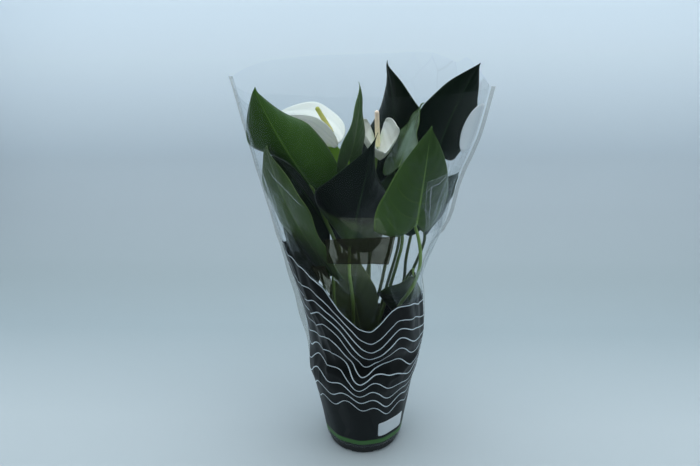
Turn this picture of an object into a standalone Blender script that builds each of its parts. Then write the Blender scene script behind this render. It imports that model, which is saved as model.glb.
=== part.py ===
"""Potted anthurium in a clear film sleeve.

A nursery pot of about 16 cm with its growing mix, sixteen heart-shaped leaves on
their stalks, two white flowers (spathe, spadix and stalk each) and the tapered
film sleeve that holds them together, with two blank labels on it.
Metres, +Z up, origin at the middle of the pot's underside, -Y is the front.
"""
import bpy
import bmesh
import math
from mathutils import Vector

# ---------------------------------------------------------------- dimensions
POT_HEIGHT = 0.155          # foot to the top of the rim
POT_RIM_R = 0.081           # outside of the rim
POT_FOOT_R = 0.0545         # outside of the foot
SOIL_TOP = 0.1435           # middle of the growing mix
LEAF_T = 0.0009             # thickness of a blade
SPATHE_T = 0.0012           # thickness of a spathe
FILM_T = 0.0005             # thickness given to the film
SLEEVE_BOTTOM = 0.014       # lower hem above the floor
SLEEVE_TOP = 0.585          # rim of the mouth
SPADIX_R = 0.0035           # radius near its foot
LABEL_T = 0.0003
LEAF_ROWS, LEAF_HALF = 10, 4

# outline of the sleeve at a few heights: height, left, right, front, back, squareness
SLEEVE = (
    (0.014, -0.0595, 0.0610, -0.0595, 0.0595, 2.0),
    (0.070, -0.0690, 0.0710, -0.0695, 0.0695, 2.0),
    (0.120, -0.0785, 0.0800, -0.0790, 0.0790, 2.0),
    (0.134, -0.0825, 0.0845, -0.0825, 0.0830, 2.0),
    (0.155, -0.0840, 0.0890, -0.0840, 0.0850, 2.0),
    (0.180, -0.0890, 0.0925, -0.0860, 0.0885, 2.1),
    (0.240, -0.0990, 0.0945, -0.0920, 0.0945, 2.5),
    (0.290, -0.1090, 0.0940, -0.0990, 0.0990, 3.0),
    (0.320, -0.1160, 0.1040, -0.1030, 0.1030, 3.2),
    (0.360, -0.1250, 0.1230, -0.1060, 0.1070, 3.2),
    (0.450, -0.1430, 0.1460, -0.1110, 0.1140, 3.2),
    (0.510, -0.1550, 0.1650, -0.1130, 0.1180, 3.2),
    (0.585, -0.1690, 0.1770, -0.1160, 0.1230, 3.2),
)

# blades: joint with the stalk, tip, way the upper face looks, greatest width,
# lobes behind the joint, fold along the midrib, curl towards the margin,
# bow of the midrib, sideways bow, place of the greatest width, twist
LEAVES = {
    "leaf_left_large": dict(joint=(-0.063, -0.058, 0.450), tip=(-0.1285, -0.051, 0.5765), face=(0.05, -1.00, 0.08),
        width=0.133, lobe=0.02, fold=-0.44, curl=-1.05, bow=0.09, side=-0.01, wide=0.47, twist=-0.72, base=0.08, base_right=0.72, lobe_right=0.28,
        wide_left=0.55, round_left=4.0),
    "leaf_right_front": dict(joint=(0.078, -0.074, 0.401), tip=(0.093, -0.081, 0.534), face=(0.32, -0.94, -0.08),
        width=0.118, lobe=0.13, fold=-0.15, curl=-0.44, bow=-0.03, side=0.02, wide=0.03, twist=0.91),
    "leaf_center_dark": dict(joint=(-0.0107, -0.051, 0.358), tip=(0.0265, -0.063, 0.5205), face=(0.23, -0.97, -0.12),
        width=0.131, lobe=0.02, fold=-0.30, curl=-0.71, bow=0.10, side=-0.04, wide=0.36, twist=-0.62, base=0.20, base_right=0.80, lobe_right=0.15, blunt=1.75),
    "leaf_left_long": dict(joint=(-0.0400, -0.058, 0.3210), tip=(-0.117, -0.066, 0.505), face=(-0.72, -0.63, -0.30),
        width=0.098, lobe=0.06, fold=0.25, curl=-0.49, bow=0.03, side=-0.06, wide=0.57, twist=-0.19),
    "leaf_center_narrow": dict(joint=(-0.011, -0.028, 0.475), tip=(0.003, -0.010, 0.574), face=(0.86, -0.51, -0.03),
        width=0.052, lobe=0.19, fold=0.11, curl=-0.27, bow=0.05, side=0.00, wide=0.15, twist=-0.34),
    "leaf_top_dark": dict(joint=(0.047, 0.039, 0.442), tip=(0.035, 0.055, 0.589), face=(-0.44, -0.90, 0.06),
        width=0.116, lobe=0.22, fold=0.05, curl=-0.70, bow=-0.02, side=0.04, wide=0.29, twist=1.17),
    "leaf_top_right": dict(joint=(0.1095, 0.018, 0.4745), tip=(0.1597, 0.016, 0.5915), face=(0.30, -0.94, -0.15),
        width=0.089, lobe=0.13, fold=0.20, curl=-0.65, bow=0.02, side=-0.05, wide=0.38, twist=-0.03),
    "leaf_right_slim": dict(joint=(0.054, -0.010, 0.458), tip=(0.084, -0.012, 0.548), face=(-0.90, -0.33, 0.29),
        width=0.080, lobe=0.19, fold=0.04, curl=-0.06, bow=-0.04, side=-0.06, wide=0.37, twist=0.47),
    "leaf_left_inner": dict(joint=(-0.046, 0.014, 0.349), tip=(-0.125, 0.012, 0.471), face=(-0.19, -0.97, -0.14),
        width=0.110, lobe=0.25, fold=0.46, curl=-0.26, bow=0.01, side=0.05, wide=0.27, twist=-0.15),
    "leaf_right_side": dict(joint=(0.091, -0.031, 0.381), tip=(0.133, -0.040, 0.460), face=(0.42, -0.85, -0.32),
        width=0.073, lobe=0.23, fold=-0.05, curl=-0.64, bow=-0.02, side=-0.02, wide=0.28, twist=0.25),
    "leaf_low_right": dict(joint=(0.0765, -0.037, 0.3030), tip=(0.0460, -0.031, 0.2400), face=(0.66, -0.64, -0.39),
        width=0.092, lobe=0.05, fold=0.08, curl=-0.77, bow=0.06, side=0.03, wide=0.46, twist=-1.10, base=0.35),
    "leaf_low_front": dict(joint=(-0.0010, -0.029, 0.2150), tip=(-0.0210, -0.039, 0.3410), face=(0.13, -0.98, -0.12),
        width=0.068, lobe=0.12, fold=0.22, curl=-0.30, bow=0.04, side=0.00, wide=0.50, twist=0.00, blunt=0.62),
    "leaf_low_left": dict(joint=(-0.0625, -0.013, 0.3005), tip=(-0.1103, -0.008, 0.3780), face=(-0.30, -0.92, -0.24),
        width=0.060, lobe=0.20, fold=0.10, curl=-0.35, bow=0.04, side=0.00, wide=0.36, twist=0.20),
    "leaf_back_left": dict(joint=(-0.035, 0.042, 0.370), tip=(-0.061, 0.056, 0.494), face=(-0.07, 0.99, -0.12),
        width=0.100, lobe=0.22, fold=0.30, curl=-0.30, bow=0.04, side=0.00, wide=0.26, twist=0.00),
    "leaf_back_middle": dict(joint=(0.024, 0.060, 0.374), tip=(0.044, 0.075, 0.488), face=(-0.07, 0.99, -0.12),
        width=0.100, lobe=0.22, fold=0.30, curl=-0.30, bow=0.04, side=0.00, wide=0.26, twist=0.00),
    "leaf_back_right": dict(joint=(0.065, 0.048, 0.378), tip=(0.115, 0.062, 0.477), face=(0.06, 0.98, -0.17),
        width=0.100, lobe=0.22, fold=0.30, curl=-0.30, bow=0.04, side=0.00, wide=0.26, twist=0.00),
}
SPATHES = {
    "spathe_left": dict(joint=(-0.053, 0.022, 0.481), tip=(-0.116, 0.008, 0.526), face=(0.58, 0.01, 0.82),
        width=0.109, lobe=0.26, fold=0.74, curl=0.33, bow=-0.03, side=0.09, wide=0.38, twist=-0.32, base=0.50, round_base=0.55),
    "spathe_right": dict(joint=(0.024, 0.028, 0.474), tip=(0.037, -0.030, 0.486), face=(0.04, 0.21, 0.98),
        width=0.105, lobe=0.41, fold=0.62, curl=0.84, bow=-0.23, side=0.04, wide=0.30, twist=0.15, base=0.50, round_base=0.60),
}
# spadices: foot, free end
SPADICES = {
    "spadix_left": ((-0.0400, 0.0240, 0.4990), (-0.0590, 0.0240, 0.5330)),
    "spadix_right": ((0.0250, 0.0220, 0.4800), (0.0240, 0.0190, 0.5290)),
}
# stalks: radius and the points that each one passes, from the growing mix up
STALKS = {
    "stalk_leaf_right_front": (0.0025, [(0.027, -0.027, 0), (0.030, -0.031, 0.171), (0.056, -0.043, 0.260), (0.070, -0.052, 0.288), (0.0785, -0.058, 0.310), (0.0835, -0.063, 0.334), (0.0835, -0.067, 0.3585), (0.0795, -0.070, 0.384)]),
    "stalk_leaf_center_dark": (0.0025, [(-0.010, -0.028, 0), (-0.011, -0.031, 0.171), (-0.010, -0.056, 0.280), (-0.013, -0.062, 0.322), (-0.013, -0.054, 0.342)]),
    "stalk_leaf_left_long": (0.0025, [(-0.026, -0.023, 0), (-0.029, -0.028, 0.171), (-0.034, -0.052, 0.245), (-0.036, -0.058, 0.285), (-0.036, -0.055, 0.305)]),
    "stalk_leaf_low_front": (0.0022, [(-0.002, -0.034, 0), (-0.002, -0.033, 0.171), (0.003, -0.025, 0.196)]),
    "stalk_leaf_low_right": (0.0020, [(0.037, -0.021, 0), (0.042, -0.022, 0.171), (0.052, -0.018, 0.240), (0.062, -0.010, 0.277), (0.072, -0.018, 0.302), (0.076, -0.028, 0.3110)]),
    "stalk_leaf_right_side": (0.0023, [(0.037, -0.002, 0), (0.041, 0.002, 0.171), (0.056, 0.009, 0.240), (0.077, 0.015, 0.290), (0.089, 0.004, 0.330), (0.0915, -0.013, 0.356)]),
    "stalk_leaf_right_slim": (0.0024, [(0.018, 0.006, 0), (0.019, 0.006, 0.171), (0.041, -0.004, 0.264), (0.053, -0.006, 0.311), (0.060, -0.008, 0.348), (0.053, -0.007, 0.430)]),
    "stalk_leaf_center_narrow": (0.0022, [(-0.002, -0.004, 0), (-0.002, -0.005, 0.171), (0.001, -0.019, 0.271), (-0.003, -0.031, 0.355), (-0.006, -0.038, 0.424), (-0.012, -0.031, 0.449)]),
    "stalk_leaf_left_large": (0.0026, [(-0.022, -0.005, 0), (-0.024, -0.005, 0.171), (-0.0245, -0.014, 0.271), (-0.0335, -0.025, 0.347), (-0.0500, -0.030, 0.397), (-0.0530, -0.040, 0.420)]),
    "stalk_leaf_top_right": (0.0022, [(0.031, 0.016, 0), (0.033, 0.017, 0.171), (0.062, 0.018, 0.261), (0.067, 0.018, 0.312), (0.099, 0.034, 0.446)]),
    "stalk_leaf_top_dark": (0.0024, [(0.006, 0.024, 0), (0.006, 0.026, 0.171), (0.026, 0.026, 0.245), (0.036, 0.030, 0.293), (0.045, 0.033, 0.335), (0.051, 0.040, 0.415)]),
    "stalk_leaf_left_inner": (0.0024, [(-0.032, 0.006, 0), (-0.035, 0.006, 0.171), (-0.026, 0.008, 0.258), (-0.030, 0.012, 0.305), (-0.034, 0.019, 0.326)]),
    "stalk_leaf_low_left": (0.0020, [(-0.036, -0.010, 0), (-0.041, -0.010, 0.171), (-0.050, -0.008, 0.240), (-0.058, -0.002, 0.281)]),
    "stalk_leaf_back_left": (0.0023, [(-0.016, 0.022, 0), (-0.017, 0.024, 0.171), (-0.021, 0.032, 0.243), (-0.028, 0.038, 0.316), (-0.030, 0.036, 0.343)]),
    "stalk_leaf_back_middle": (0.0023, [(-0.004, 0.034, 0), (-0.004, 0.037, 0.171), (0.002, 0.042, 0.238), (0.015, 0.050, 0.312), (0.019, 0.052, 0.348)]),
    "stalk_leaf_back_right": (0.0023, [(0.018, 0.028, 0), (0.019, 0.031, 0.171), (0.036, 0.043, 0.241), (0.055, 0.048, 0.316), (0.057, 0.049, 0.352)]),
    "stalk_flower_left": (0.0022, [(-0.016, 0.009, 0), (-0.017, 0.010, 0.171), (-0.010, 0.012, 0.254), (-0.017, 0.022, 0.341), (-0.030, 0.029, 0.432), (-0.048, 0.026, 0.457)]),
    "stalk_flower_right": (0.0022, [(0.007, 0.005, 0), (0.008, 0.005, 0.171), (0.011, 0.008, 0.257), (0.013, 0.005, 0.350), (0.016, 0.010, 0.425), (0.022, 0.030, 0.449)]),
}

# ------------------------------------------------------------------- helpers
for old in list(bpy.data.objects):
    bpy.data.objects.remove(old, do_unlink=True)
plant = bpy.data.collections.new("potted_anthurium")
cutters = bpy.data.collections.new("cutters")
bpy.context.scene.collection.children.link(plant)
bpy.context.scene.collection.children.link(cutters)


def material(name, color, rough, metal=0.0, alpha=1.0):
    m = bpy.data.materials.new(name)
    m.use_nodes = True
    b = m.node_tree.nodes["Principled BSDF"]
    b.inputs["Base Color"].default_value = (*color, 1.0)
    b.inputs["Roughness"].default_value = rough
    b.inputs["Metallic"].default_value = metal
    b.inputs["Alpha"].default_value = alpha
    return m


def add(name, data, mat):
    o = bpy.data.objects.new(name, data)
    data.materials.append(mat)
    plant.objects.link(o)
    return o


def lerp(a, b, t):
    return a + (b - a) * t


def width_share(u, wide, base=0.72, blunt=1.15, round_base=1.0):
    """Half width of a blade along its length, 1 at its widest; base is its share at the joint."""
    wide = max(wide, 0.02)
    if u < wide:
        return base + (1 - base) * math.sin(max(u, 0.0) / wide * math.pi / 2) ** round_base
    t = (u - wide) / (1 - wide)
    return max(math.cos(t * math.pi / 2) ** blunt * (1 - 0.10 * math.sin(math.pi * t) ** 2), 0.006)


def blade_point(d, u, v):
    """A point of a heart-shaped blade: u runs from the joint to the tip, v across."""
    J, T, N = Vector(d["joint"]), Vector(d["tip"]), Vector(d["face"])
    axis = T - J
    length = axis.length
    a = axis / length
    n = (N - a * N.dot(a)).normalized()
    s = a.cross(n)
    av = abs(v)
    base = d.get("base", 0.72)
    rb = d.get("round_base", 1.0)
    if v > 0:
        share = width_share(u, d["wide"], d.get("base_right", base), d.get("blunt", 1.15), rb)
    else:
        share = width_share(u, d.get("wide_left", d["wide"]), base, d.get("blunt", 1.15), d.get("round_left", rb))
    w = d["width"] / 2 * share
    lobe = math.sin(math.pi * av ** 0.75 * 0.62) ** 1.2 if av > 0 else 0.0
    deep = d.get("lobe_right", d["lobe"]) if v > 0 else d["lobe"]
    x = u - deep * lobe * (1 - u) ** 2.2
    fold = d["fold"] * (1 - 0.2 * u)
    c = d["curl"] if abs(d["curl"]) > 1e-4 else 1e-4
    across = w * (math.sin(fold + c * av) - math.sin(fold)) / c
    rise = -w * (math.cos(fold + c * av) - math.cos(fold)) / c

    def midrib(t):
        h = 4 * t * (1 - t) if t > 0 else 4 * t
        return J + length * (a * t + n * (d["bow"] * h) + s * (d["side"] * h))

    tg = (midrib(x + 1e-3) - midrib(x - 1e-3)).normalized()
    nn = (n - tg * n.dot(tg)).normalized()
    ss = tg.cross(nn)
    th = d["twist"] * (x - 0.3)
    s2 = ss * math.cos(th) + nn * math.sin(th)
    n2 = nn * math.cos(th) - ss * math.sin(th)
    return midrib(x) + s2 * (across if v > 0 else -across) + n2 * rise


def blade(name, d, mat, thick):
    """Open sheet bent into the blade, then given its thickness."""
    bm = bmesh.new()
    bmesh.ops.create_grid(bm, x_segments=LEAF_ROWS, y_segments=2 * LEAF_HALF, size=1.0)
    for vert in bm.verts:
        u = (vert.co.x + 1) / 2
        u = u ** 1.15
        vert.co = blade_point(d, u, vert.co.y)
    me = bpy.data.meshes.new(name)
    bm.to_mesh(me)
    bm.free()
    me.shade_smooth()
    o = add(name, me, mat)
    sol = o.modifiers.new("thickness", "SOLIDIFY")
    sol.thickness = thick
    sol.offset = 0.0
    return o


def smooth_route(points, count):
    """Points read from one Catmull-Rom curve through the given ones."""
    P = [Vector(p) for p in points]
    P = [P[0] * 2 - P[1]] + P + [P[-1] * 2 - P[-2]]
    t = [0.0]
    for k in range(1, len(P)):
        t.append(t[-1] + max((P[k] - P[k - 1]).length, 1e-6) ** 0.5)
    out = []
    for i in range(count):
        q = lerp(t[1], t[-2], i / (count - 1))
        k = 1
        while k < len(P) - 3 and q > t[k + 1]:
            k += 1
        t0, t1, t2, t3 = t[k - 1:k + 3]
        p0, p1, p2, p3 = P[k - 1:k + 3]
        a1 = p0 * ((t1 - q) / (t1 - t0)) + p1 * ((q - t0) / (t1 - t0))
        a2 = p1 * ((t2 - q) / (t2 - t1)) + p2 * ((q - t1) / (t2 - t1))
        a3 = p2 * ((t3 - q) / (t3 - t2)) + p3 * ((q - t2) / (t3 - t2))
        b1 = a1 * ((t2 - q) / (t2 - t0)) + a2 * ((q - t0) / (t2 - t0))
        b2 = a2 * ((t3 - q) / (t3 - t1)) + a3 * ((q - t1) / (t3 - t1))
        out.append(b1 * ((t2 - q) / (t2 - t1)) + b2 * ((q - t1) / (t2 - t1)))
    return out


def soil_level(x, y):
    """Height of the gently domed growing mix."""
    r = math.hypot(x, y)
    return SOIL_TOP - 0.0035 * min(r / 0.0738, 1.0) ** 2


def stalk_end(d, radius):
    """Just behind the joint on the underside of the blade."""
    J, T, N = Vector(d["joint"]), Vector(d["tip"]), Vector(d["face"])
    a = (T - J).normalized()
    n = (N - a * N.dot(a)).normalized()
    clear = radius * (1 + max(-math.tan(d["fold"]), 0.0)) + 0.0018
    return tuple(J - a * (0.003 + 0.012 * max(-d["fold"], 0.0)) - n * clear)


def stalk(name, radius, route, mat, d):
    route = list(route) + [stalk_end(d, radius)]
    x, y, _ = route[0]
    route[0] = (x, y, SOIL_TOP + 0.0006)
    count = 9 if len(route) < 5 else 12
    cu = bpy.data.curves.new(name, "CURVE")
    cu.dimensions = "3D"
    cu.bevel_depth = radius
    cu.bevel_resolution = 2
    cu.use_fill_caps = True
    sp = cu.splines.new("POLY")
    pts = smooth_route(route, count)
    sp.points.add(count - 1)
    for p, q in zip(sp.points, pts):
        p.co = (*q, 1.0)
    return add(name, cu, mat)


def turned(name, profile, mat, steps=44):
    """Profile in the XZ plane turned about Z."""
    me = bpy.data.meshes.new(name)
    me.from_pydata([(r, 0.0, z) for r, z in profile], [(i, i + 1) for i in range(len(profile) - 1)], [])
    o = add(name, me, mat)
    sc = o.modifiers.new("turn", "SCREW")
    sc.steps = steps
    sc.render_steps = steps
    sc.use_merge_vertices = True
    sc.merge_threshold = 0.00005
    return o


def sleeve_section(z):
    rows = SLEEVE
    if z <= rows[0][0]:
        return rows[0][1:]
    for a, b in zip(rows, rows[1:]):
        if z <= b[0]:
            t = (z - a[0]) / (b[0] - a[0])
            return tuple(lerp(p, q, t) for p, q in zip(a[1:], b[1:]))
    return rows[-1][1:]


def sleeve_point(angle, z, out=0.0):
    """Point of the film's inner face at an angle about its middle, moved outwards by out."""
    l, r, f, b, n = sleeve_section(z)
    cx, cy, A, B = (l + r) / 2, (f + b) / 2, (r - l) / 2 + out, (b - f) / 2 + out
    c, s = math.cos(angle), math.sin(angle)
    x = cx + A * math.copysign(abs(c) ** (2 / n), c)
    y = cy + B * math.copysign(abs(s) ** (2 / n), s)
    return Vector((x, y, z))


# ----------------------------------------------------------------- materials
m_pot = material("pot_black_plastic", (0.012, 0.013, 0.013), 0.45)
m_soil = material("growing_mix", (0.045, 0.030, 0.020), 0.95)
m_leaf = material("leaf_green", (0.045, 0.110, 0.025), 0.35)
m_dark = material("leaf_dark_green", (0.012, 0.035, 0.018), 0.30)
m_stalk = material("stalk_green", (0.130, 0.230, 0.050), 0.45)
m_white = material("spathe_white", (0.780, 0.800, 0.760), 0.40)
m_cream = material("spadix_cream", (0.700, 0.600, 0.380), 0.70)
m_yellow = material("spadix_yellow_green", (0.480, 0.500, 0.180), 0.70)
m_film = material("clear_film", (0.800, 0.850, 0.880), 0.12, alpha=0.35)
m_label = material("label_white", (0.800, 0.820, 0.830), 0.50)

# ----------------------------------------------------------------------- pot
rim = POT_RIM_R
pot = turned("pot", [
    (0.0, 0.0050), (0.0530, 0.0050), (0.0550, 0.0090), (0.0735, 0.1370), (0.0772, 0.1400),
    (0.0780, 0.1530), (0.0786, POT_HEIGHT), (rim - 0.0006, POT_HEIGHT), (rim, POT_HEIGHT - 0.0014),
    (rim, 0.1400), (rim - 0.0010, 0.1376), (0.0765, 0.1366), (0.0752, 0.1320), (0.0575, 0.0100),
    (0.0560, 0.0030), (POT_FOOT_R, 0.0), (0.0490, 0.0), (0.0, 0.0)], m_pot)
bm = bmesh.new()
for k in range(8):
    a = math.radians(22.5 + 45 * k)
    got = bmesh.ops.create_cube(bm, size=1.0)["verts"]
    for v in got:
        x, y, z = v.co.x * 0.016, v.co.y * 0.009, v.co.z * 0.006
        x += 0.0525
        v.co = (x * math.cos(a) - y * math.sin(a), x * math.sin(a) + y * math.cos(a), z - 0.0007)
for k in range(6):
    a = math.radians(60 * k)
    got = bmesh.ops.create_cone(bm, cap_ends=True, segments=12, radius1=0.005, radius2=0.005, depth=0.02)["verts"]
    for v in got:
        v.co.x += 0.036 * math.cos(a)
        v.co.y += 0.036 * math.sin(a)
        v.co.z += 0.004
me = bpy.data.meshes.new("foot_notches")
bm.to_mesh(me)
bm.free()
cut = bpy.data.objects.new("foot_notches", me)
cutters.objects.link(cut)
cut.hide_render = True
cut.display_type = "WIRE"
bo = pot.modifiers.new("notches", "BOOLEAN")
bo.operation = "DIFFERENCE"
bo.solver = "EXACT"
bo.object = cut

# -------------------------------------------------------------- growing mix
turned("growing_mix", [
    (0.0, SOIL_TOP), (0.025, SOIL_TOP - 0.0004), (0.050, SOIL_TOP - 0.0016), (0.0725, SOIL_TOP - 0.0036),
    (0.0735, 0.1385), (0.0729, 0.1370), (0.0546, 0.0096), (0.0526, 0.0056), (0.0, 0.0056)], m_soil, steps=36)

# ------------------------------------------------------------------- leaves
DARK = {"leaf_center_dark", "leaf_top_dark", "leaf_top_right", "leaf_left_inner", "leaf_right_side"}
for name, d in LEAVES.items():
    blade(name, d, m_dark if name in DARK else m_leaf, LEAF_T)
for name, d in SPATHES.items():
    blade(name, d, m_white, SPATHE_T)
for name, (radius, route) in STALKS.items():
    carried = name.replace("stalk_", "").replace("flower_", "spathe_")
    stalk(name, radius, route, m_stalk, LEAVES.get(carried) or SPATHES[carried])

# ----------------------------------------------------------------- spadices
for name, (foot, end) in SPADICES.items():
    foot, end = Vector(foot), Vector(end)
    L = (end - foot).length
    R = SPADIX_R
    prof = [(0.0, L), (R * 0.35, L - 0.0003), (R * 0.62, L - 0.0012), (R * 0.80, L - 0.0035), (R * 0.90, L * 0.62),
            (R, L * 0.25), (R * 0.95, 0.0006), (R * 0.80, 0.0), (0.0, 0.0)]
    o = turned(name, prof, m_yellow if name == "spadix_left" else m_cream, steps=14)
    o.location = foot
    o.rotation_mode = "QUATERNION"
    o.rotation_quaternion = (end - foot).to_track_quat("Z", "Y")

# ------------------------------------------------------------------- sleeve
bm = bmesh.new()
AROUND, UP = 44, len(SLEEVE) + 1
bmesh.ops.create_grid(bm, x_segments=AROUND, y_segments=UP, size=1.0)
levels = [r[0] for r in SLEEVE] + [0.405, 0.548]
levels.sort()
for v in bm.verts:
    ang = (v.co.x + 1) * math.pi
    row = round((v.co.y + 1) / 2 * UP)
    v.co = sleeve_point(ang, levels[row])
bmesh.ops.remove_doubles(bm, verts=bm.verts, dist=0.00005)
bmesh.ops.recalc_face_normals(bm, faces=bm.faces)
me = bpy.data.meshes.new("film_sleeve")
bm.to_mesh(me)
bm.free()
me.shade_smooth()
film = add("film_sleeve", me, m_film)
sol = film.modifiers.new("thickness", "SOLIDIFY")
sol.thickness = FILM_T
sol.offset = 1.0
sol.use_even_offset = True


# ------------------------------------------------------------------- labels
def label(name, angle, z, half_angle, half_height, tilt, round_form):
    """Thin blank label lying on the outside of the film."""
    bm = bmesh.new()
    bmesh.ops.create_grid(bm, x_segments=10, y_segments=6, size=1.0)
    for v in bm.verts:
        p, q = v.co.x, v.co.y
        if round_form:
            p, q = p * math.sqrt(1 - q * q / 2), q * math.sqrt(1 - p * p / 2)
        pa = p * math.cos(tilt) - q * math.sin(tilt) * half_height / 0.10
        qa = q * math.cos(tilt) + p * math.sin(tilt) * 0.9
        v.co = sleeve_point(angle + pa * half_angle, z + qa * half_height, FILM_T + 0.0011)
    me = bpy.data.meshes.new(name)
    bm.to_mesh(me)
    bm.free()
    me.shade_smooth()
    o = add(name, me, m_label)
    s = o.modifiers.new("thickness", "SOLIDIFY")
    s.thickness = LABEL_T
    s.offset = 0.0
    return o


label("label_low", math.radians(-48.5), 0.0521, math.radians(20.3), 0.0145, 0.06, False)
label("label_side", math.radians(-24), 0.530, math.radians(17), 0.032, 0.0, True)
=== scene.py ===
"""Looks of the potted anthurium: leaves, flowers, stalks, mix, pot, film sleeve and its print.

Metres, +Z up, -Y the front, origin at the middle of the pot's underside.
"""
import math
import random

import bpy
import numpy as np
from mathutils import Matrix, Vector, noise


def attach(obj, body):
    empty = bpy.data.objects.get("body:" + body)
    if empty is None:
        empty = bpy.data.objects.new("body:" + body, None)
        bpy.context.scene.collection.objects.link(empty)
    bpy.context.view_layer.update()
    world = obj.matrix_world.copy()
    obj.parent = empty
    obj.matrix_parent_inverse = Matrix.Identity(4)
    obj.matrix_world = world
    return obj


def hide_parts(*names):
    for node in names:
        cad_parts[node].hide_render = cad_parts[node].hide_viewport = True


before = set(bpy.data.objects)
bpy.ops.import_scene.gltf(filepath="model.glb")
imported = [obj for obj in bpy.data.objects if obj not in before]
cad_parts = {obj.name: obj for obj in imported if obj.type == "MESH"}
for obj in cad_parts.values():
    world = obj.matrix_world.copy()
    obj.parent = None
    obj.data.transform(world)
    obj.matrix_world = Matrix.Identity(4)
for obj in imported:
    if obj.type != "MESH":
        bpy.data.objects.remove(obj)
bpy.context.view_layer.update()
scene = bpy.context.scene

# ---------------------------------------------------------------------------
# camera
# ---------------------------------------------------------------------------
CAM_AT = (0.049, -0.9175, 0.768)
CAM_DOWN, CAM_YAW, CAM_ROLL = math.radians(24.21), math.radians(-4.00), math.radians(-1.37)


def camera():
    fw = np.array([math.sin(CAM_YAW) * math.cos(CAM_DOWN), math.cos(CAM_YAW) * math.cos(CAM_DOWN), -math.sin(CAM_DOWN)])
    r0 = np.array([math.cos(CAM_YAW), -math.sin(CAM_YAW), 0.0])
    u0 = np.cross(r0, fw)
    right = math.cos(CAM_ROLL) * r0 + math.sin(CAM_ROLL) * u0
    up = -math.sin(CAM_ROLL) * r0 + math.cos(CAM_ROLL) * u0
    cd = bpy.data.cameras.new("camera")
    cd.lens = 36.0
    cd.sensor_width = 36.0
    cd.sensor_fit = "HORIZONTAL"
    cd.clip_start = 0.05
    cam = bpy.data.objects.new("camera", cd)
    m = Matrix.Identity(4)
    for i in range(3):
        m[i][0], m[i][1], m[i][2], m[i][3] = right[i], up[i], -fw[i], CAM_AT[i]
    cam.matrix_world = m
    scene.collection.objects.link(cam)
    scene.camera = cam


camera()

# ---------------------------------------------------------------------------
# small helpers
# ---------------------------------------------------------------------------


def sstep(x, a, b):
    t = np.clip((np.asarray(x, float) - a) / (b - a), 0.0, 1.0)
    return t * t * (3 - 2 * t)


def gauss(x, w):
    return np.exp(-0.5 * (np.asarray(x, float) / w) ** 2)


def unit(v):
    v = np.asarray(v, float)
    return v / np.linalg.norm(v, axis=-1, keepdims=True)


def smooth_table(z, zs, col):
    """Cubic through the rows of a table."""
    zs, col = np.asarray(zs, float), np.asarray(col, float)
    m = np.gradient(col, zs)
    z = np.clip(z, zs[0], zs[-1])
    k = np.clip(np.searchsorted(zs, z, side="right") - 1, 0, len(zs) - 2)
    h = zs[k + 1] - zs[k]
    t = (z - zs[k]) / h
    return ((2 * t**3 - 3 * t**2 + 1) * col[k] + (t**3 - 2 * t**2 + t) * h * m[k]
            + (-2 * t**3 + 3 * t**2) * col[k + 1] + (t**3 - t**2) * h * m[k + 1])


def wave_noise(p, seed=0.0):
    """Smooth noise of an (n, 3) array of points."""
    out = np.empty(len(p))
    for i, q in enumerate(p):
        out[i] = noise.noise(Vector((float(q[0]) + seed, float(q[1]) - seed * 0.7, float(q[2]) + seed * 1.3)))
    return out


def new_object(name, verts, faces, mats, uv=None, smooth=True, face_mat=None):
    me = bpy.data.meshes.new(name)
    me.from_pydata([tuple(map(float, v)) for v in verts], [], [tuple(int(i) for i in f) for f in faces])
    me.update()
    if uv is not None:
        layer = me.uv_layers.new(name="UVMap")
        loops = np.empty(len(me.loops), dtype=np.int32)
        me.loops.foreach_get("vertex_index", loops)
        layer.data.foreach_set("uv", np.asarray(uv, float)[loops].ravel())
    me.polygons.foreach_set("use_smooth", [smooth] * len(me.polygons))
    for m in (mats if isinstance(mats, (list, tuple)) else [mats]):
        me.materials.append(m)
    if face_mat is not None:
        me.polygons.foreach_set("material_index", face_mat)
    me.update()
    o = bpy.data.objects.new(name, me)
    scene.collection.objects.link(o)
    return o


def piece(name, verts, faces, mats, replaces=(), uv=None, smooth=True, face_mat=None):
    o = new_object(name, verts, faces, mats, uv, smooth, face_mat)
    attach(o, "root")
    if replaces:
        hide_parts(*([replaces] if isinstance(replaces, str) else replaces))
    return o


def grid_faces(rows, cols, wrap=False, start=0, flip=False):
    """Quads of a grid with rows*cols points, wrapping along the columns if asked."""
    out = []
    for i in range(rows - 1):
        for j in range(cols if wrap else cols - 1):
            a, b = i * cols + j, i * cols + (j + 1) % cols
            q = (start + a, start + b, start + b + cols, start + a + cols)
            out.append(q[::-1] if flip else q)
    return out


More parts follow.
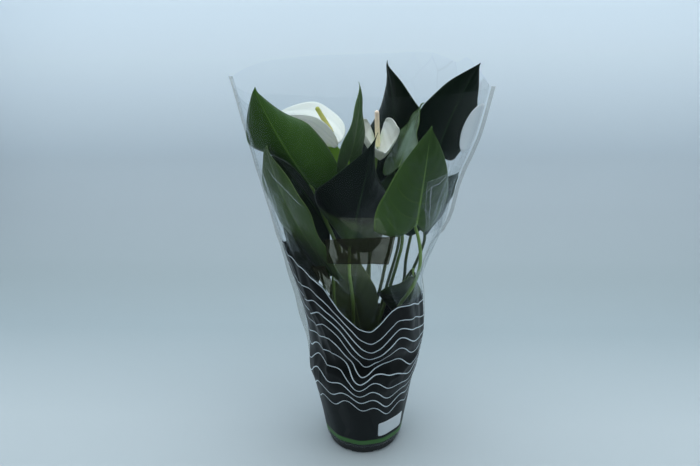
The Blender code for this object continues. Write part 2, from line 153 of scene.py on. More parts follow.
def closed_sheet(P, thick, uv=None, wrap=False, offset=0.0):
    """A thin closed body around a grid of points P (rows, cols, 3).

    offset 0 puts the grid in the middle of it, +1 at its inner and -1 at its outer face.
    """
    rows, cols = P.shape[:2]
    du = np.gradient(P, axis=0)
    if wrap:
        dv = (np.roll(P, -1, 1) - np.roll(P, 1, 1)) / 2
    else:
        dv = np.gradient(P, axis=1)
    n = np.cross(dv, du)
    ln = np.linalg.norm(n, axis=-1, keepdims=True)
    n = n / np.maximum(ln, 1e-12)
    hi = P + n * thick * (0.5 + 0.5 * offset)
    lo = P - n * thick * (0.5 - 0.5 * offset)
    V = np.concatenate([hi.reshape(-1, 3), lo.reshape(-1, 3)])
    k = rows * cols
    F = grid_faces(rows, cols, wrap) + grid_faces(rows, cols, wrap, k, True)
    n_cols = cols if wrap else cols - 1
    for j in range(n_cols):
        a, b = j, (j + 1) % cols
        F.append((b, a, k + a, k + b))
        a, b = (rows - 1) * cols + j, (rows - 1) * cols + (j + 1) % cols
        F.append((a, b, k + b, k + a))
    if not wrap:
        for i in range(rows - 1):
            a, b = i * cols, (i + 1) * cols
            F.append((a, b, k + b, k + a))
            a, b = i * cols + cols - 1, (i + 1) * cols + cols - 1
            F.append((b, a, k + a, k + b))
    U = None
    if uv is not None:
        U = np.concatenate([uv.reshape(-1, 2), uv.reshape(-1, 2)])
    return V, F, U, n


def tube(points, radii, sides=12, caps=True):
    """Closed tube along points; radii per point."""
    P = np.asarray(points, float)
    n = len(P)
    T = unit(np.gradient(P, axis=0))
    ref = np.array([0.0, 1.0, 0.0]) if abs(T[0][1]) < 0.9 else np.array([1.0, 0.0, 0.0])
    X = unit(np.cross(T[0], ref))
    V, UV = [], []
    length = np.concatenate([[0], np.cumsum(np.linalg.norm(np.diff(P, axis=0), axis=1))])
    for i in range(n):
        X = unit(X - T[i] * (X @ T[i]))
        Y = np.cross(T[i], X)
        for j in range(sides):
            a = 2 * math.pi * j / sides
            V.append(P[i] + radii[i] * (math.cos(a) * X + math.sin(a) * Y))
            UV.append((j / sides, length[i]))
    F = grid_faces(n, sides, wrap=True)
    if caps:
        F.append(tuple(range(sides))[::-1])
        F.append(tuple((n - 1) * sides + j for j in range(sides)))
    return np.array(V), F, np.array(UV)


def catmull(points, count):
    """Evenly spread points on a smooth curve through the given ones."""
    P = [np.asarray(p, float) for p in points]
    P = [2 * P[0] - P[1]] + P + [2 * P[-1] - P[-2]]
    t = [0.0]
    for k in range(1, len(P)):
        t.append(t[-1] + max(np.linalg.norm(P[k] - P[k - 1]), 1e-6) ** 0.5)
    out = []
    for q in np.linspace(t[1], t[-2], 400):
        k = 1
        while k < len(P) - 3 and q > t[k + 1]:
            k += 1
        t0, t1, t2, t3 = t[k - 1:k + 3]
        p0, p1, p2, p3 = P[k - 1:k + 3]
        a1 = p0 * ((t1 - q) / (t1 - t0)) + p1 * ((q - t0) / (t1 - t0))
        a2 = p1 * ((t2 - q) / (t2 - t1)) + p2 * ((q - t1) / (t2 - t1))
        a3 = p2 * ((t3 - q) / (t3 - t2)) + p3 * ((q - t2) / (t3 - t2))
        b1 = a1 * ((t2 - q) / (t2 - t0)) + a2 * ((q - t0) / (t2 - t0))
        b2 = a2 * ((t3 - q) / (t3 - t1)) + a3 * ((q - t1) / (t3 - t1))
        out.append(b1 * ((t2 - q) / (t2 - t1)) + b2 * ((q - t1) / (t2 - t1)))
    out = np.array(out)
    s = np.concatenate([[0], np.cumsum(np.linalg.norm(np.diff(out, axis=0), axis=1))])
    want = np.linspace(0, s[-1], count)
    return np.stack([np.interp(want, s, out[:, k]) for k in range(3)], 1)


# ---------------------------------------------------------------------------
# node helpers
# ---------------------------------------------------------------------------


class Nodes:
    """Short way of wiring a node material."""

    def __init__(self, name):
        self.mat = bpy.data.materials.new(name)
        self.mat.use_nodes = True
        self.nt = self.mat.node_tree
        self.bsdf = self.nt.nodes["Principled BSDF"]
        self.out = self.nt.nodes["Material Output"]

    def add(self, kind, inputs=None, **props):
        n = self.nt.nodes.new(kind)
        for k, v in props.items():
            setattr(n, k, v)
        for k, v in (inputs or {}).items():
            self.put(n.inputs[k], v)
        return n

    def put(self, socket, v):
        if isinstance(v, bpy.types.NodeSocket):
            self.nt.links.new(v, socket)
        elif isinstance(v, bpy.types.Node):
            self.nt.links.new(v.outputs[0], socket)
        else:
            if socket.type == "RGBA" and len(v) == 3:
                v = (*v, 1.0)
            socket.default_value = v

    def math(self, op, a, b=0.0, c=0.0, clamp=False):
        n = self.nt.nodes.new("ShaderNodeMath")
        n.operation = op
        n.use_clamp = clamp
        self.put(n.inputs[0], a)
        self.put(n.inputs[1], b)
        self.put(n.inputs[2], c)
        return n.outputs[0]

    def mix(self, f, a, b, kind="MIX"):
        n = self.nt.nodes.new("ShaderNodeMix")
        n.data_type = "RGBA"
        n.blend_type = kind
        self.put(n.inputs[0], f)
        self.put(n.inputs[6], a)
        self.put(n.inputs[7], b)
        return n.outputs[2]

    def ramp(self, f, stops, mode="LINEAR"):
        n = self.nt.nodes.new("ShaderNodeValToRGB")
        n.color_ramp.interpolation = mode
        e = n.color_ramp.elements
        while len(e) < len(stops):
            e.new(0.5)
        for el, (p, c) in zip(e, stops):
            el.position = p
            if isinstance(c, (int, float)):
                c = (c, c, c)
            el.color = (*c, 1.0)
        self.put(n.inputs[0], f)
        return n.outputs[0]

    def noise(self, vec, scale, detail=3.0, rough=0.55, dist=0.0):
        n = self.add("ShaderNodeTexNoise")
        self.put(n.inputs["Vector"], vec)
        n.inputs["Scale"].default_value = scale
        n.inputs["Detail"].default_value = detail
        n.inputs["Roughness"].default_value = rough
        n.inputs["Distortion"].default_value = dist
        return n.outputs["Fac"]

    def object_pos(self):
        return self.add("ShaderNodeTexCoord").outputs["Object"]

    def uv(self):
        n = self.add("ShaderNodeUVMap")
        n.uv_map = "UVMap"
        s = self.add("ShaderNodeSeparateXYZ")
        self.put(s.inputs[0], n.outputs[0])
        return s.outputs[0], s.outputs[1]

    def bump(self, height, strength, dist=0.001, normal=None):
        n = self.add("ShaderNodeBump")
        n.inputs["Strength"].default_value = strength
        n.inputs["Distance"].default_value = dist
        self.put(n.inputs["Height"], height)
        if normal is not None:
            self.put(n.inputs["Normal"], normal)
        return n.outputs[0]

    def set(self, **kw):
        for k, v in kw.items():
            self.put(self.bsdf.inputs[k.replace("_", " ")], v)
        return self.mat


# ---------------------------------------------------------------------------
# leaves
# ---------------------------------------------------------------------------
LEAVES = {
    "leaf_left_large": dict(joint=(-0.063, -0.058, 0.450), tip=(-0.1285, -0.051, 0.5765), face=(0.05, -1.00, 0.08),
        width=0.133, lobe=0.02, fold=-0.44, curl=-1.05, bow=0.09, side=-0.01, wide=0.47, twist=-0.72, base=0.08, base_right=0.72, lobe_right=0.28,
        wide_left=0.55, round_left=4.0),
    "leaf_right_front": dict(joint=(0.078, -0.074, 0.401), tip=(0.093, -0.081, 0.534), face=(0.32, -0.94, -0.08),
        width=0.118, lobe=0.13, fold=-0.15, curl=-0.44, bow=-0.03, side=0.02, wide=0.03, twist=0.91),
    "leaf_center_dark": dict(joint=(-0.0107, -0.051, 0.358), tip=(0.0265, -0.063, 0.5205), face=(0.23, -0.97, -0.12),
        width=0.131, lobe=0.02, fold=-0.30, curl=-0.71, bow=0.10, side=-0.04, wide=0.36, twist=-0.62, base=0.20, base_right=0.80, lobe_right=0.15, blunt=1.75),
    "leaf_left_long": dict(joint=(-0.0400, -0.058, 0.3210), tip=(-0.117, -0.066, 0.505), face=(-0.72, -0.63, -0.30),
        width=0.098, lobe=0.06, fold=0.25, curl=-0.49, bow=0.03, side=-0.06, wide=0.57, twist=-0.19),
    "leaf_center_narrow": dict(joint=(-0.011, -0.028, 0.475), tip=(0.003, -0.010, 0.574), face=(0.86, -0.51, -0.03),
        width=0.052, lobe=0.19, fold=0.11, curl=-0.27, bow=0.05, side=0.00, wide=0.15, twist=-0.34),
    "leaf_top_dark": dict(joint=(0.047, 0.039, 0.442), tip=(0.035, 0.055, 0.589), face=(-0.44, -0.90, 0.06),
        width=0.116, lobe=0.22, fold=0.05, curl=-0.70, bow=-0.02, side=0.04, wide=0.29, twist=1.17),
    "leaf_top_right": dict(joint=(0.1095, 0.018, 0.4745), tip=(0.1597, 0.016, 0.5915), face=(0.30, -0.94, -0.15),
        width=0.089, lobe=0.13, fold=0.20, curl=-0.65, bow=0.02, side=-0.05, wide=0.38, twist=-0.03),
    "leaf_right_slim": dict(joint=(0.054, -0.010, 0.458), tip=(0.084, -0.012, 0.548), face=(-0.90, -0.33, 0.29),
        width=0.080, lobe=0.19, fold=0.04, curl=-0.06, bow=-0.04, side=-0.06, wide=0.37, twist=0.47),
    "leaf_left_inner": dict(joint=(-0.046, 0.014, 0.349), tip=(-0.125, 0.012, 0.471), face=(-0.19, -0.97, -0.14),
        width=0.110, lobe=0.25, fold=0.46, curl=-0.26, bow=0.01, side=0.05, wide=0.27, twist=-0.15),
    "leaf_right_side": dict(joint=(0.091, -0.031, 0.381), tip=(0.133, -0.040, 0.460), face=(0.42, -0.85, -0.32),
        width=0.073, lobe=0.23, fold=-0.05, curl=-0.64, bow=-0.02, side=-0.02, wide=0.28, twist=0.25),
    "leaf_low_right": dict(joint=(0.0765, -0.037, 0.3030), tip=(0.0460, -0.031, 0.2400), face=(0.66, -0.64, -0.39),
        width=0.092, lobe=0.05, fold=0.08, curl=-0.77, bow=0.06, side=0.03, wide=0.46, twist=-1.10, base=0.35),
    "leaf_low_front": dict(joint=(-0.0010, -0.029, 0.2150), tip=(-0.0210, -0.039, 0.3410), face=(0.13, -0.98, -0.12),
        width=0.068, lobe=0.12, fold=0.22, curl=-0.30, bow=0.04, side=0.00, wide=0.50, twist=0.00, blunt=0.62),
    "leaf_low_left": dict(joint=(-0.0625, -0.013, 0.3005), tip=(-0.1103, -0.008, 0.3780), face=(-0.30, -0.92, -0.24),
        width=0.060, lobe=0.20, fold=0.10, curl=-0.35, bow=0.04, side=0.00, wide=0.36, twist=0.20),
    "leaf_back_left": dict(joint=(-0.035, 0.042, 0.370), tip=(-0.061, 0.056, 0.494), face=(-0.07, 0.99, -0.12),
        width=0.100, lobe=0.22, fold=0.30, curl=-0.30, bow=0.04, side=0.00, wide=0.26, twist=0.00),
    "leaf_back_middle": dict(joint=(0.024, 0.060, 0.374), tip=(0.044, 0.075, 0.488), face=(-0.07, 0.99, -0.12),
        width=0.100, lobe=0.22, fold=0.30, curl=-0.30, bow=0.04, side=0.00, wide=0.26, twist=0.00),
    "leaf_back_right": dict(joint=(0.065, 0.048, 0.378), tip=(0.115, 0.062, 0.477), face=(0.06, 0.98, -0.17),
        width=0.100, lobe=0.22, fold=0.30, curl=-0.30, bow=0.04, side=0.00, wide=0.26, twist=0.00),
}
SPATHES = {
    "spathe_left": dict(joint=(-0.053, 0.022, 0.481), tip=(-0.116, 0.008, 0.526), face=(0.58, 0.01, 0.82),
        width=0.109, lobe=0.26, fold=0.74, curl=0.33, bow=-0.03, side=0.09, wide=0.38, twist=-0.32, base=0.50, round_base=0.55),
    "spathe_right": dict(joint=(0.024, 0.028, 0.474), tip=(0.037, -0.030, 0.486), face=(0.04, 0.21, 0.98),
        width=0.105, lobe=0.41, fold=0.62, curl=0.84, bow=-0.23, side=0.04, wide=0.30, twist=0.15, base=0.50, round_base=0.60),
}
SPADICES = {
    "spadix_left": ((-0.0400, 0.0240, 0.4990), (-0.0590, 0.0240, 0.5330)),
    "spadix_right": ((0.0250, 0.0220, 0.4800), (0.0240, 0.0190, 0.5290)),
}
STALKS = {
    "stalk_leaf_right_front": (0.0025, [(0.027, -0.027, 0), (0.030, -0.031, 0.171), (0.056, -0.043, 0.260), (0.070, -0.052, 0.288), (0.0785, -0.058, 0.310), (0.0835, -0.063, 0.334), (0.0835, -0.067, 0.3585), (0.0795, -0.070, 0.384)]),
    "stalk_leaf_center_dark": (0.0025, [(-0.010, -0.028, 0), (-0.011, -0.031, 0.171), (-0.010, -0.056, 0.280), (-0.013, -0.062, 0.322), (-0.013, -0.054, 0.342)]),
    "stalk_leaf_left_long": (0.0025, [(-0.026, -0.023, 0), (-0.029, -0.028, 0.171), (-0.034, -0.052, 0.245), (-0.036, -0.058, 0.285), (-0.036, -0.055, 0.305)]),
    "stalk_leaf_low_front": (0.0022, [(-0.002, -0.034, 0), (-0.002, -0.033, 0.171), (0.003, -0.025, 0.196)]),
    "stalk_leaf_low_right": (0.0020, [(0.037, -0.021, 0), (0.042, -0.022, 0.171), (0.052, -0.018, 0.240), (0.062, -0.010, 0.277), (0.072, -0.018, 0.302), (0.076, -0.028, 0.3110)]),
    "stalk_leaf_right_side": (0.0023, [(0.037, -0.002, 0), (0.041, 0.002, 0.171), (0.056, 0.009, 0.240), (0.077, 0.015, 0.290), (0.089, 0.004, 0.330), (0.0915, -0.013, 0.356)]),
    "stalk_leaf_right_slim": (0.0024, [(0.018, 0.006, 0), (0.019, 0.006, 0.171), (0.041, -0.004, 0.264), (0.053, -0.006, 0.311), (0.060, -0.008, 0.348), (0.053, -0.007, 0.430)]),
    "stalk_leaf_center_narrow": (0.0022, [(-0.002, -0.004, 0), (-0.002, -0.005, 0.171), (0.001, -0.019, 0.271), (-0.003, -0.031, 0.355), (-0.006, -0.038, 0.424), (-0.012, -0.031, 0.449)]),
    "stalk_leaf_left_large": (0.0026, [(-0.022, -0.005, 0), (-0.024, -0.005, 0.171), (-0.0245, -0.014, 0.271), (-0.0335, -0.025, 0.347), (-0.0500, -0.030, 0.397), (-0.0530, -0.040, 0.420)]),
    "stalk_leaf_top_right": (0.0022, [(0.031, 0.016, 0), (0.033, 0.017, 0.171), (0.062, 0.018, 0.261), (0.067, 0.018, 0.312), (0.099, 0.034, 0.446)]),
    "stalk_leaf_top_dark": (0.0024, [(0.006, 0.024, 0), (0.006, 0.026, 0.171), (0.026, 0.026, 0.245), (0.036, 0.030, 0.293), (0.045, 0.033, 0.335), (0.051, 0.040, 0.415)]),
    "stalk_leaf_left_inner": (0.0024, [(-0.032, 0.006, 0), (-0.035, 0.006, 0.171), (-0.026, 0.008, 0.258), (-0.030, 0.012, 0.305), (-0.034, 0.019, 0.326)]),
    "stalk_leaf_low_left": (0.0020, [(-0.036, -0.010, 0), (-0.041, -0.010, 0.171), (-0.050, -0.008, 0.240), (-0.058, -0.002, 0.281)]),
    "stalk_leaf_back_left": (0.0023, [(-0.016, 0.022, 0), (-0.017, 0.024, 0.171), (-0.021, 0.032, 0.243), (-0.028, 0.038, 0.316), (-0.030, 0.036, 0.343)]),
    "stalk_leaf_back_middle": (0.0023, [(-0.004, 0.034, 0), (-0.004, 0.037, 0.171), (0.002, 0.042, 0.238), (0.015, 0.050, 0.312), (0.019, 0.052, 0.348)]),
    "stalk_leaf_back_right": (0.0023, [(0.018, 0.028, 0), (0.019, 0.031, 0.171), (0.036, 0.043, 0.241), (0.055, 0.048, 0.316), (0.057, 0.049, 0.352)]),
    "stalk_flower_left": (0.0022, [(-0.016, 0.009, 0), (-0.017, 0.010, 0.171), (-0.010, 0.012, 0.254), (-0.017, 0.022, 0.341), (-0.030, 0.029, 0.432), (-0.048, 0.026, 0.457)]),
    "stalk_flower_right": (0.0022, [(0.007, 0.005, 0), (0.008, 0.005, 0.171), (0.011, 0.008, 0.257), (0.013, 0.005, 0.350), (0.016, 0.010, 0.425), (0.022, 0.030, 0.449)]),
}
SOIL_TOP = 0.1435


def width_share(u, wide, base=0.72, blunt=1.15, round_base=1.0):
    wide = max(wide, 0.02)
    lo = base + (1 - base) * np.sin(np.clip(u / wide, 0, 1) * math.pi / 2) ** round_base
    t = np.clip((u - wide) / (1 - wide), 0, 1)
    hi = np.cos(t * math.pi / 2) ** blunt * (1 - 0.10 * np.sin(math.pi * t) ** 2)
    return np.where(u < wide, lo, np.maximum(hi, 0.004))


def blade_grid(d, nu, nv, ripple=0.0, ripples=3.0, phase=0.0, quilt=0.0, groove=0.0, veins=7, rib=0.0, tail=0.0):
    """Grid of a heart-shaped blade (nu+1 rows from the joint to the tip, 2 nv+1 across)."""
    J, T, N = (np.array(d[k], float) for k in ("joint", "tip", "face"))
    L = np.linalg.norm(T - J)
    a = (T - J) / L
    n = unit(N - (N @ a) * a)
    s = np.cross(a, n)
    u = (np.linspace(0, 1, nu + 1) ** 1.12)[:, None]
    v = np.linspace(-1, 1, 2 * nv + 1)
    v = (np.sign(v) * np.abs(v) ** 0.92)[None, :]
    av = np.abs(v)
    W = d["width"]
    base = d.get("base", 0.72)
    blunt, rb = d.get("blunt", 1.15), d.get("round_base", 1.0)
    w = W / 2 * np.where(v > 0, width_share(u, d["wide"], d.get("base_right", base), blunt, rb), width_share(u, d.get("wide_left", d["wide"]), base, blunt, d.get("round_left", rb)))
    lobe = np.sin(math.pi * av**0.75 * 0.62) ** 1.2
    x = u - np.where(v > 0, d.get("lobe_right", d["lobe"]), d["lobe"]) * lobe * (1 - u) ** 2.2
    fold = d["fold"] * (1 - 0.2 * u) + 0 * v
    c = d["curl"] if abs(d["curl"]) > 1e-4 else 1e-4
    across = w * (np.sin(fold + c * av) - np.sin(fold)) / c * np.sign(v)
    rise = -w * (np.cos(fold + c * av) - np.cos(fold)) / c
    # margin ripple, quilting between the side veins, groove over the midrib
    rise = rise + ripple * np.sin(2 * math.pi * ripples * u + phase + (v > 0) * 1.3) * av**3 * (w / (W / 2)) ** 0.5
    sv = (x - 0.30 * av**1.3) * veins
    if quilt:
        rise = rise + quilt * np.abs(np.sin(math.pi * sv)) * sstep(av, 0.05, 0.35) * (1 - sstep(av, 0.72, 0.96)) * sstep(1 - u, 0.02, 0.25)
    if rib:
        rise = rise + rib * np.cos(2 * math.pi * av * 3.2) * sstep(av, 0.05, 0.2) * (1 - sstep(av, 0.8, 1.0)) * sstep(1 - u, 0.03, 0.3)
    if groove:
        rise = rise - groove * np.exp(-(av * w / 0.0022) ** 2) * (0.4 + 0.6 * (1 - u))

    def mid(t):
        h = np.where(t > 0, 4 * t * (1 - t), 4 * t)
        P = J + L * (t[..., None] * a + (d["bow"] * h)[..., None] * n + (d["side"] * h)[..., None] * s)
        if tail:
            k = np.clip((t - 0.93) / 0.07, 0, 1) ** 2
            P = P + (tail * k)[..., None] * (-n * 0.7 + s * 0.5)
        return P

    x = x + 0 * v
    tg = unit(mid(x + 1e-3) - mid(x - 1e-3))
    nn = unit(n - (tg @ n)[..., None] * tg)
    ss = np.cross(tg, nn)
    th = d["twist"] * (x - 0.3)
    s2 = ss * np.cos(th)[..., None] + nn * np.sin(th)[..., None]
    n2 = nn * np.cos(th)[..., None] - ss * np.sin(th)[..., None]
    P = mid(x) + s2 * across[..., None] + n2 * rise[..., None]
    UV = np.stack([u + 0 * v, v * 0.5 + 0.5 + 0 * u], -1)
    return P, UV


def leaf_material(name, base, light, gloss=0.40, vein=0.35, edge=0.5, foot=None, painted_sheen=None, painted_rear_shade=None):
    """Leathery leaf: pale midrib and side veins, lighter rim, cloudy colour; on some blades painted light near the
    joint, a painted sheen, and painted shade on the face turned to the back.
    """
    k = Nodes(name)
    u, vv = k.uv()
    v = k.math("SUBTRACT", k.math("MULTIPLY", vv, 2.0), 1.0)
    av = k.math("ABSOLUTE", v)
    pos = k.object_pos()
    wob = k.math("MULTIPLY", k.math("SUBTRACT", k.noise(pos, 22.0, 2.0), 0.5), 0.10)
    # side veins leave the midrib and bend towards the tip
    s = k.math("SUBTRACT", k.math("ADD", u, wob), k.math("MULTIPLY", k.math("POWER", av, 1.3), 0.30))
    fr = k.math("ABSOLUTE", k.math("SUBTRACT", k.math("FRACT", k.math("MULTIPLY", s, 7.0)), 0.5))
    side = k.math("SMOOTH_MIN", k.math("MULTIPLY", fr, 18.0), 1.0, 0.3)
    side = k.math("SUBTRACT", 1.0, side, clamp=True)
    side = k.math("MULTIPLY", side, k.ramp(av, [(0.0, 1.0), (0.75, 0.55), (0.93, 0.0)]))
    fine = k.math("ABSOLUTE", k.math("SUBTRACT", k.math("FRACT", k.math("MULTIPLY", s, 35.0)), 0.5))
    fine = k.math("SUBTRACT", 1.0, k.math("MULTIPLY", fine, 5.0), clamp=True)
    midw = k.math("ADD", 0.020, k.math("MULTIPLY", k.math("SUBTRACT", 1.0, u), 0.030))
    mid = k.math("SUBTRACT", 1.0, k.math("DIVIDE", av, midw), clamp=True)
    rim = k.ramp(av, [(0.0, 0.0), (0.955, 0.0), (0.992, 1.0)])
    cloud = k.noise(pos, 14.0, 4.0, 0.6)
    spots = k.noise(pos, 260.0, 3.0, 0.6)
    col = k.mix(k.math("MULTIPLY", k.math("SUBTRACT", cloud, 0.35, clamp=True), 0.9), base, [c * 1.35 for c in base])
    col = k.mix(k.math("MULTIPLY", spots, 0.22), col, [c * 0.75 for c in base])
    col = k.mix(k.math("MULTIPLY", side, vein), col, light)
    col = k.mix(k.math("MULTIPLY", fine, vein * 0.12), col, light)
    col = k.mix(k.math("MULTIPLY", mid, min(1.0, vein * 2.4)), col, [c * 1.25 for c in light])
    col = k.mix(k.math("MULTIPLY", rim, edge), col, light)
    if foot:
        # painted light and shade near the joint: one painted tone left of the midrib, one right of it
        top, left, right = foot
        soft = k.math("ADD", u, k.math("MULTIPLY", wob, 0.6))
        tone = k.mix(k.ramp(vv, [(0.48, 0.0), (0.56, 1.0)]), left, right)
        tone = k.mix(k.math("MULTIPLY", k.math("SUBTRACT", cloud, 0.40, clamp=True), 1.4), tone, [c * 0.55 for c in left])
        col = k.mix(k.ramp(soft, [(top - 0.03, 1.0), (top + 0.02, 0.0)]), col, tone)
    if painted_sheen:
        # painted sheen: a pale highlight on the right half
        lo, hi, tone = painted_sheen
        m = k.math("MULTIPLY", k.ramp(u, [(lo - 0.12, 0.0), (lo + 0.06, 1.0), (hi - 0.08, 1.0), (hi + 0.06, 0.0)]),
                   k.ramp(vv, [(0.26, 0.0), (0.36, 1.0), (0.90, 1.0), (0.97, 0.3)]))
        m = k.math("MULTIPLY", m, k.math("ADD", 0.45, k.math("MULTIPLY", k.noise(pos, 60.0, 3.0), 0.8), clamp=True))
        col = k.mix(m, col, tone)
    if painted_rear_shade:
        # painted shade: the face turned to the back is drawn darker
        sep = k.add("ShaderNodeSeparateXYZ")
        k.put(sep.inputs[0], k.add("ShaderNodeNewGeometry").outputs["Normal"])
        col = k.mix(k.math("MULTIPLY", k.math("MULTIPLY", sep.outputs[1], 6.0, clamp=True), 0.88), col, painted_rear_shade)
    rough = k.math("ADD", gloss, k.math("MULTIPLY", k.math("SUBTRACT", cloud, 0.5), 0.20))
    h = k.math("ADD", k.math("MULTIPLY", side, -0.6), k.math("MULTIPLY", fine, -0.12))
    h = k.math("ADD", h, k.math("MULTIPLY", mid, 0.5))
    h = k.math("ADD", h, k.math("MULTIPLY", k.noise(pos, 180.0, 2.0), 0.30))
    k.set(Base_Color=col, Roughness=rough, Normal=k.bump(h, 0.22, 0.0006))
    b = k.bsdf
    b.inputs["IOR"].default_value = 1.45
    b.inputs["Specular IOR Level"].default_value = 0.30 if painted_sheen else (0.06 if name.endswith("left_large") else (0.16 if sum(base) > 0.04 else 0.10))
    b.inputs["Subsurface Weight"].default_value = 0.0
    b.inputs["Sheen Weight"].default_value = 0.02
    return k.mat


def srgb(r, g, b):
    out = []
    for c in (r, g, b):
        c = c / 255.0
        out.append(c / 12.92 if c <= 0.04045 else ((c + 0.055) / 1.055) ** 2.4)
    return tuple(out)


# base colour, vein colour, roughness, vein strength, rim strength
TONES = {
    "leaf_left_large": (srgb(46, 74, 26), srgb(84, 116, 52), 0.40, 0.22, 0.35),
    "leaf_right_front": (srgb(54, 80, 34), srgb(112, 146, 66), 0.36, 0.30, 0.35),
    "leaf_center_dark": (srgb(13, 22, 17), srgb(52, 76, 48), 0.30, 0.16, 0.55),
    "leaf_left_long": (srgb(64, 85, 43), srgb(106, 131, 74), 0.42, 0.22, 0.50),
    "leaf_center_narrow": (srgb(70, 94, 58), srgb(118, 146, 92), 0.42, 0.20, 0.35),
    "leaf_top_dark": (srgb(15, 26, 19), srgb(56, 84, 54), 0.42, 0.10, 0.60),
    "leaf_top_right": (srgb(16, 27, 20), srgb(52, 76, 50), 0.42, 0.18, 0.60),
    "leaf_right_slim": (srgb(64, 88, 50), srgb(124, 152, 92), 0.26, 0.25, 0.50),
    "leaf_left_inner": (srgb(26, 40, 24), srgb(64, 90, 52), 0.45, 0.18, 0.40),
    "leaf_right_side": (srgb(34, 52, 40), srgb(80, 104, 74), 0.38, 0.22, 0.40),
    "leaf_low_right": (srgb(50, 64, 38), srgb(104, 128, 70), 0.48, 0.22, 0.40),
    "leaf_low_front": (srgb(84, 98, 60), srgb(130, 148, 90), 0.45, 0.22, 0.35),
    "leaf_low_left": (srgb(50, 62, 36), srgb(92, 110, 62), 0.45, 0.22, 0.35),
    # painted light: leaf_back_left's bright yellow-green base gives a lit look to a blade that sits in the shade
    "leaf_back_left": (srgb(150, 196, 76), srgb(176, 210, 110), 0.45, 0.22, 0.40),
    "leaf_back_middle": (srgb(34, 52, 32), srgb(80, 108, 66), 0.42, 0.22, 0.40),
    "leaf_back_right": (srgb(44, 66, 38), srgb(90, 118, 72), 0.42, 0.22, 0.40),
}

# painted light and shade on the foot of leaf_center_dark: how far up the blade it reaches, its lit left tone, its
# shaded right tone
PAINTED_FOOT_LIGHT = {"leaf_center_dark": (0.265, srgb(84, 108, 58), srgb(40, 56, 34))}
# painted highlight on leaf_right_slim: where it starts and ends along the blade, and its pale tone
PAINTED_SHEEN = {"leaf_right_slim": (0.22, 0.66, srgb(128, 152, 134))}
# painted shade on the face of leaf_back_left turned to the back
PAINTED_REAR_SHADE = {"leaf_back_left": srgb(44, 66, 34)}

ORDER = list(LEAVES)
for name, d in LEAVES.items():
    i = ORDER.index(name)
    base, light, gloss, vein, edge = TONES[name]
    mat = leaf_material("m_" + name, base, light, gloss, vein, edge, PAINTED_FOOT_LIGHT.get(name), PAINTED_SHEEN.get(name), PAINTED_REAR_SHADE.get(name))
    P, UV = blade_grid(d, 44, 14, ripple=0.0016, ripples=2.3 + 0.35 * (i % 4), phase=1.7 * i, quilt=0.0007, groove=0.0007,
                       tail=0.0035)
    V, F, U, _ = closed_sheet(P, 0.0007, UV)
    piece("blade_" + name[5:], V, F, mat, name, U)


def spathe_material(name, white, shade, painted_glow):
    k = Nodes(name)
    u, vv = k.uv()
    av = k.math("ABSOLUTE", k.math("SUBTRACT", k.math("MULTIPLY", vv, 2.0), 1.0))
    pos = k.object_pos()
    ribs = k.math("ABSOLUTE", k.math("SUBTRACT", k.math("FRACT", k.math("ADD", k.math("MULTIPLY", av, 4.2), k.math("MULTIPLY", k.noise(pos, 18.0, 2.0), 0.5))), 0.5))
    ribs = k.math("SUBTRACT", 1.0, k.math("MULTIPLY", ribs, 4.0), clamp=True)
    cloud = k.noise(pos, 20.0, 3.0)
    col = k.mix(k.math("MULTIPLY", cloud, 0.35), white, shade)
    col = k.mix(k.math("MULTIPLY", ribs, 0.34), col, shade)
    foot = k.math("MULTIPLY", k.math("SUBTRACT", 1.0, k.math("MULTIPLY", u, 9.0), clamp=True), k.math("SUBTRACT", 1.0, k.math("MULTIPLY", av, 2.2), clamp=True))
    col = k.mix(k.math("MULTIPLY", foot, 0.8), col, srgb(150, 175, 90))
    h = k.math("ADD", k.math("MULTIPLY", ribs, 0.8), k.math("MULTIPLY", k.noise(pos, 500.0, 2.0), 0.2))
    k.set(Base_Color=col, Roughness=k.math("ADD", 0.36, k.math("MULTIPLY", cloud, 0.15)), Normal=k.bump(h, 0.25, 0.0005))
    # painted light: faces turned to the front glow faintly, in place of light passing through the thin bract
    sep = k.add("ShaderNodeSeparateXYZ")
    k.put(sep.inputs[0], k.add("ShaderNodeNewGeometry").outputs["Normal"])
    k.set(Emission_Color=col, Emission_Strength=k.math("MULTIPLY", k.math("MAXIMUM", k.math("MULTIPLY", sep.outputs[1], -1.0), 0.0), painted_glow))
    k.bsdf.inputs["Subsurface Weight"].default_value = 0.25
    k.bsdf.inputs["Subsurface Radius"].default_value = (0.004, 0.004, 0.003)
    k.bsdf.inputs["Subsurface Scale"].default_value = 1.0
    return k.mat


# the last number is the painted glow; the right bract is drawn a greyer white with less glow: painted shade
m_spathe = {
    "spathe_left": spathe_material("m_spathe_left", srgb(225, 230, 227), srgb(192, 202, 199), 0.20),
    "spathe_right": spathe_material("m_spathe_right", srgb(214, 218, 212), srgb(188, 190, 184), 0.06),
}
for name, d in SPATHES.items():
    P, UV = blade_grid(d, 48, 18, ripple=0.0018, ripples=1.6, phase=0.6, rib=0.0005, groove=0.0004, tail=0.003)
    V, F, U, _ = closed_sheet(P, 0.0010, UV)
    piece("bract_" + name[7:], V, F, m_spathe[name], name, U)

# ---------------------------------------------------------------------------
# stalks
# ---------------------------------------------------------------------------


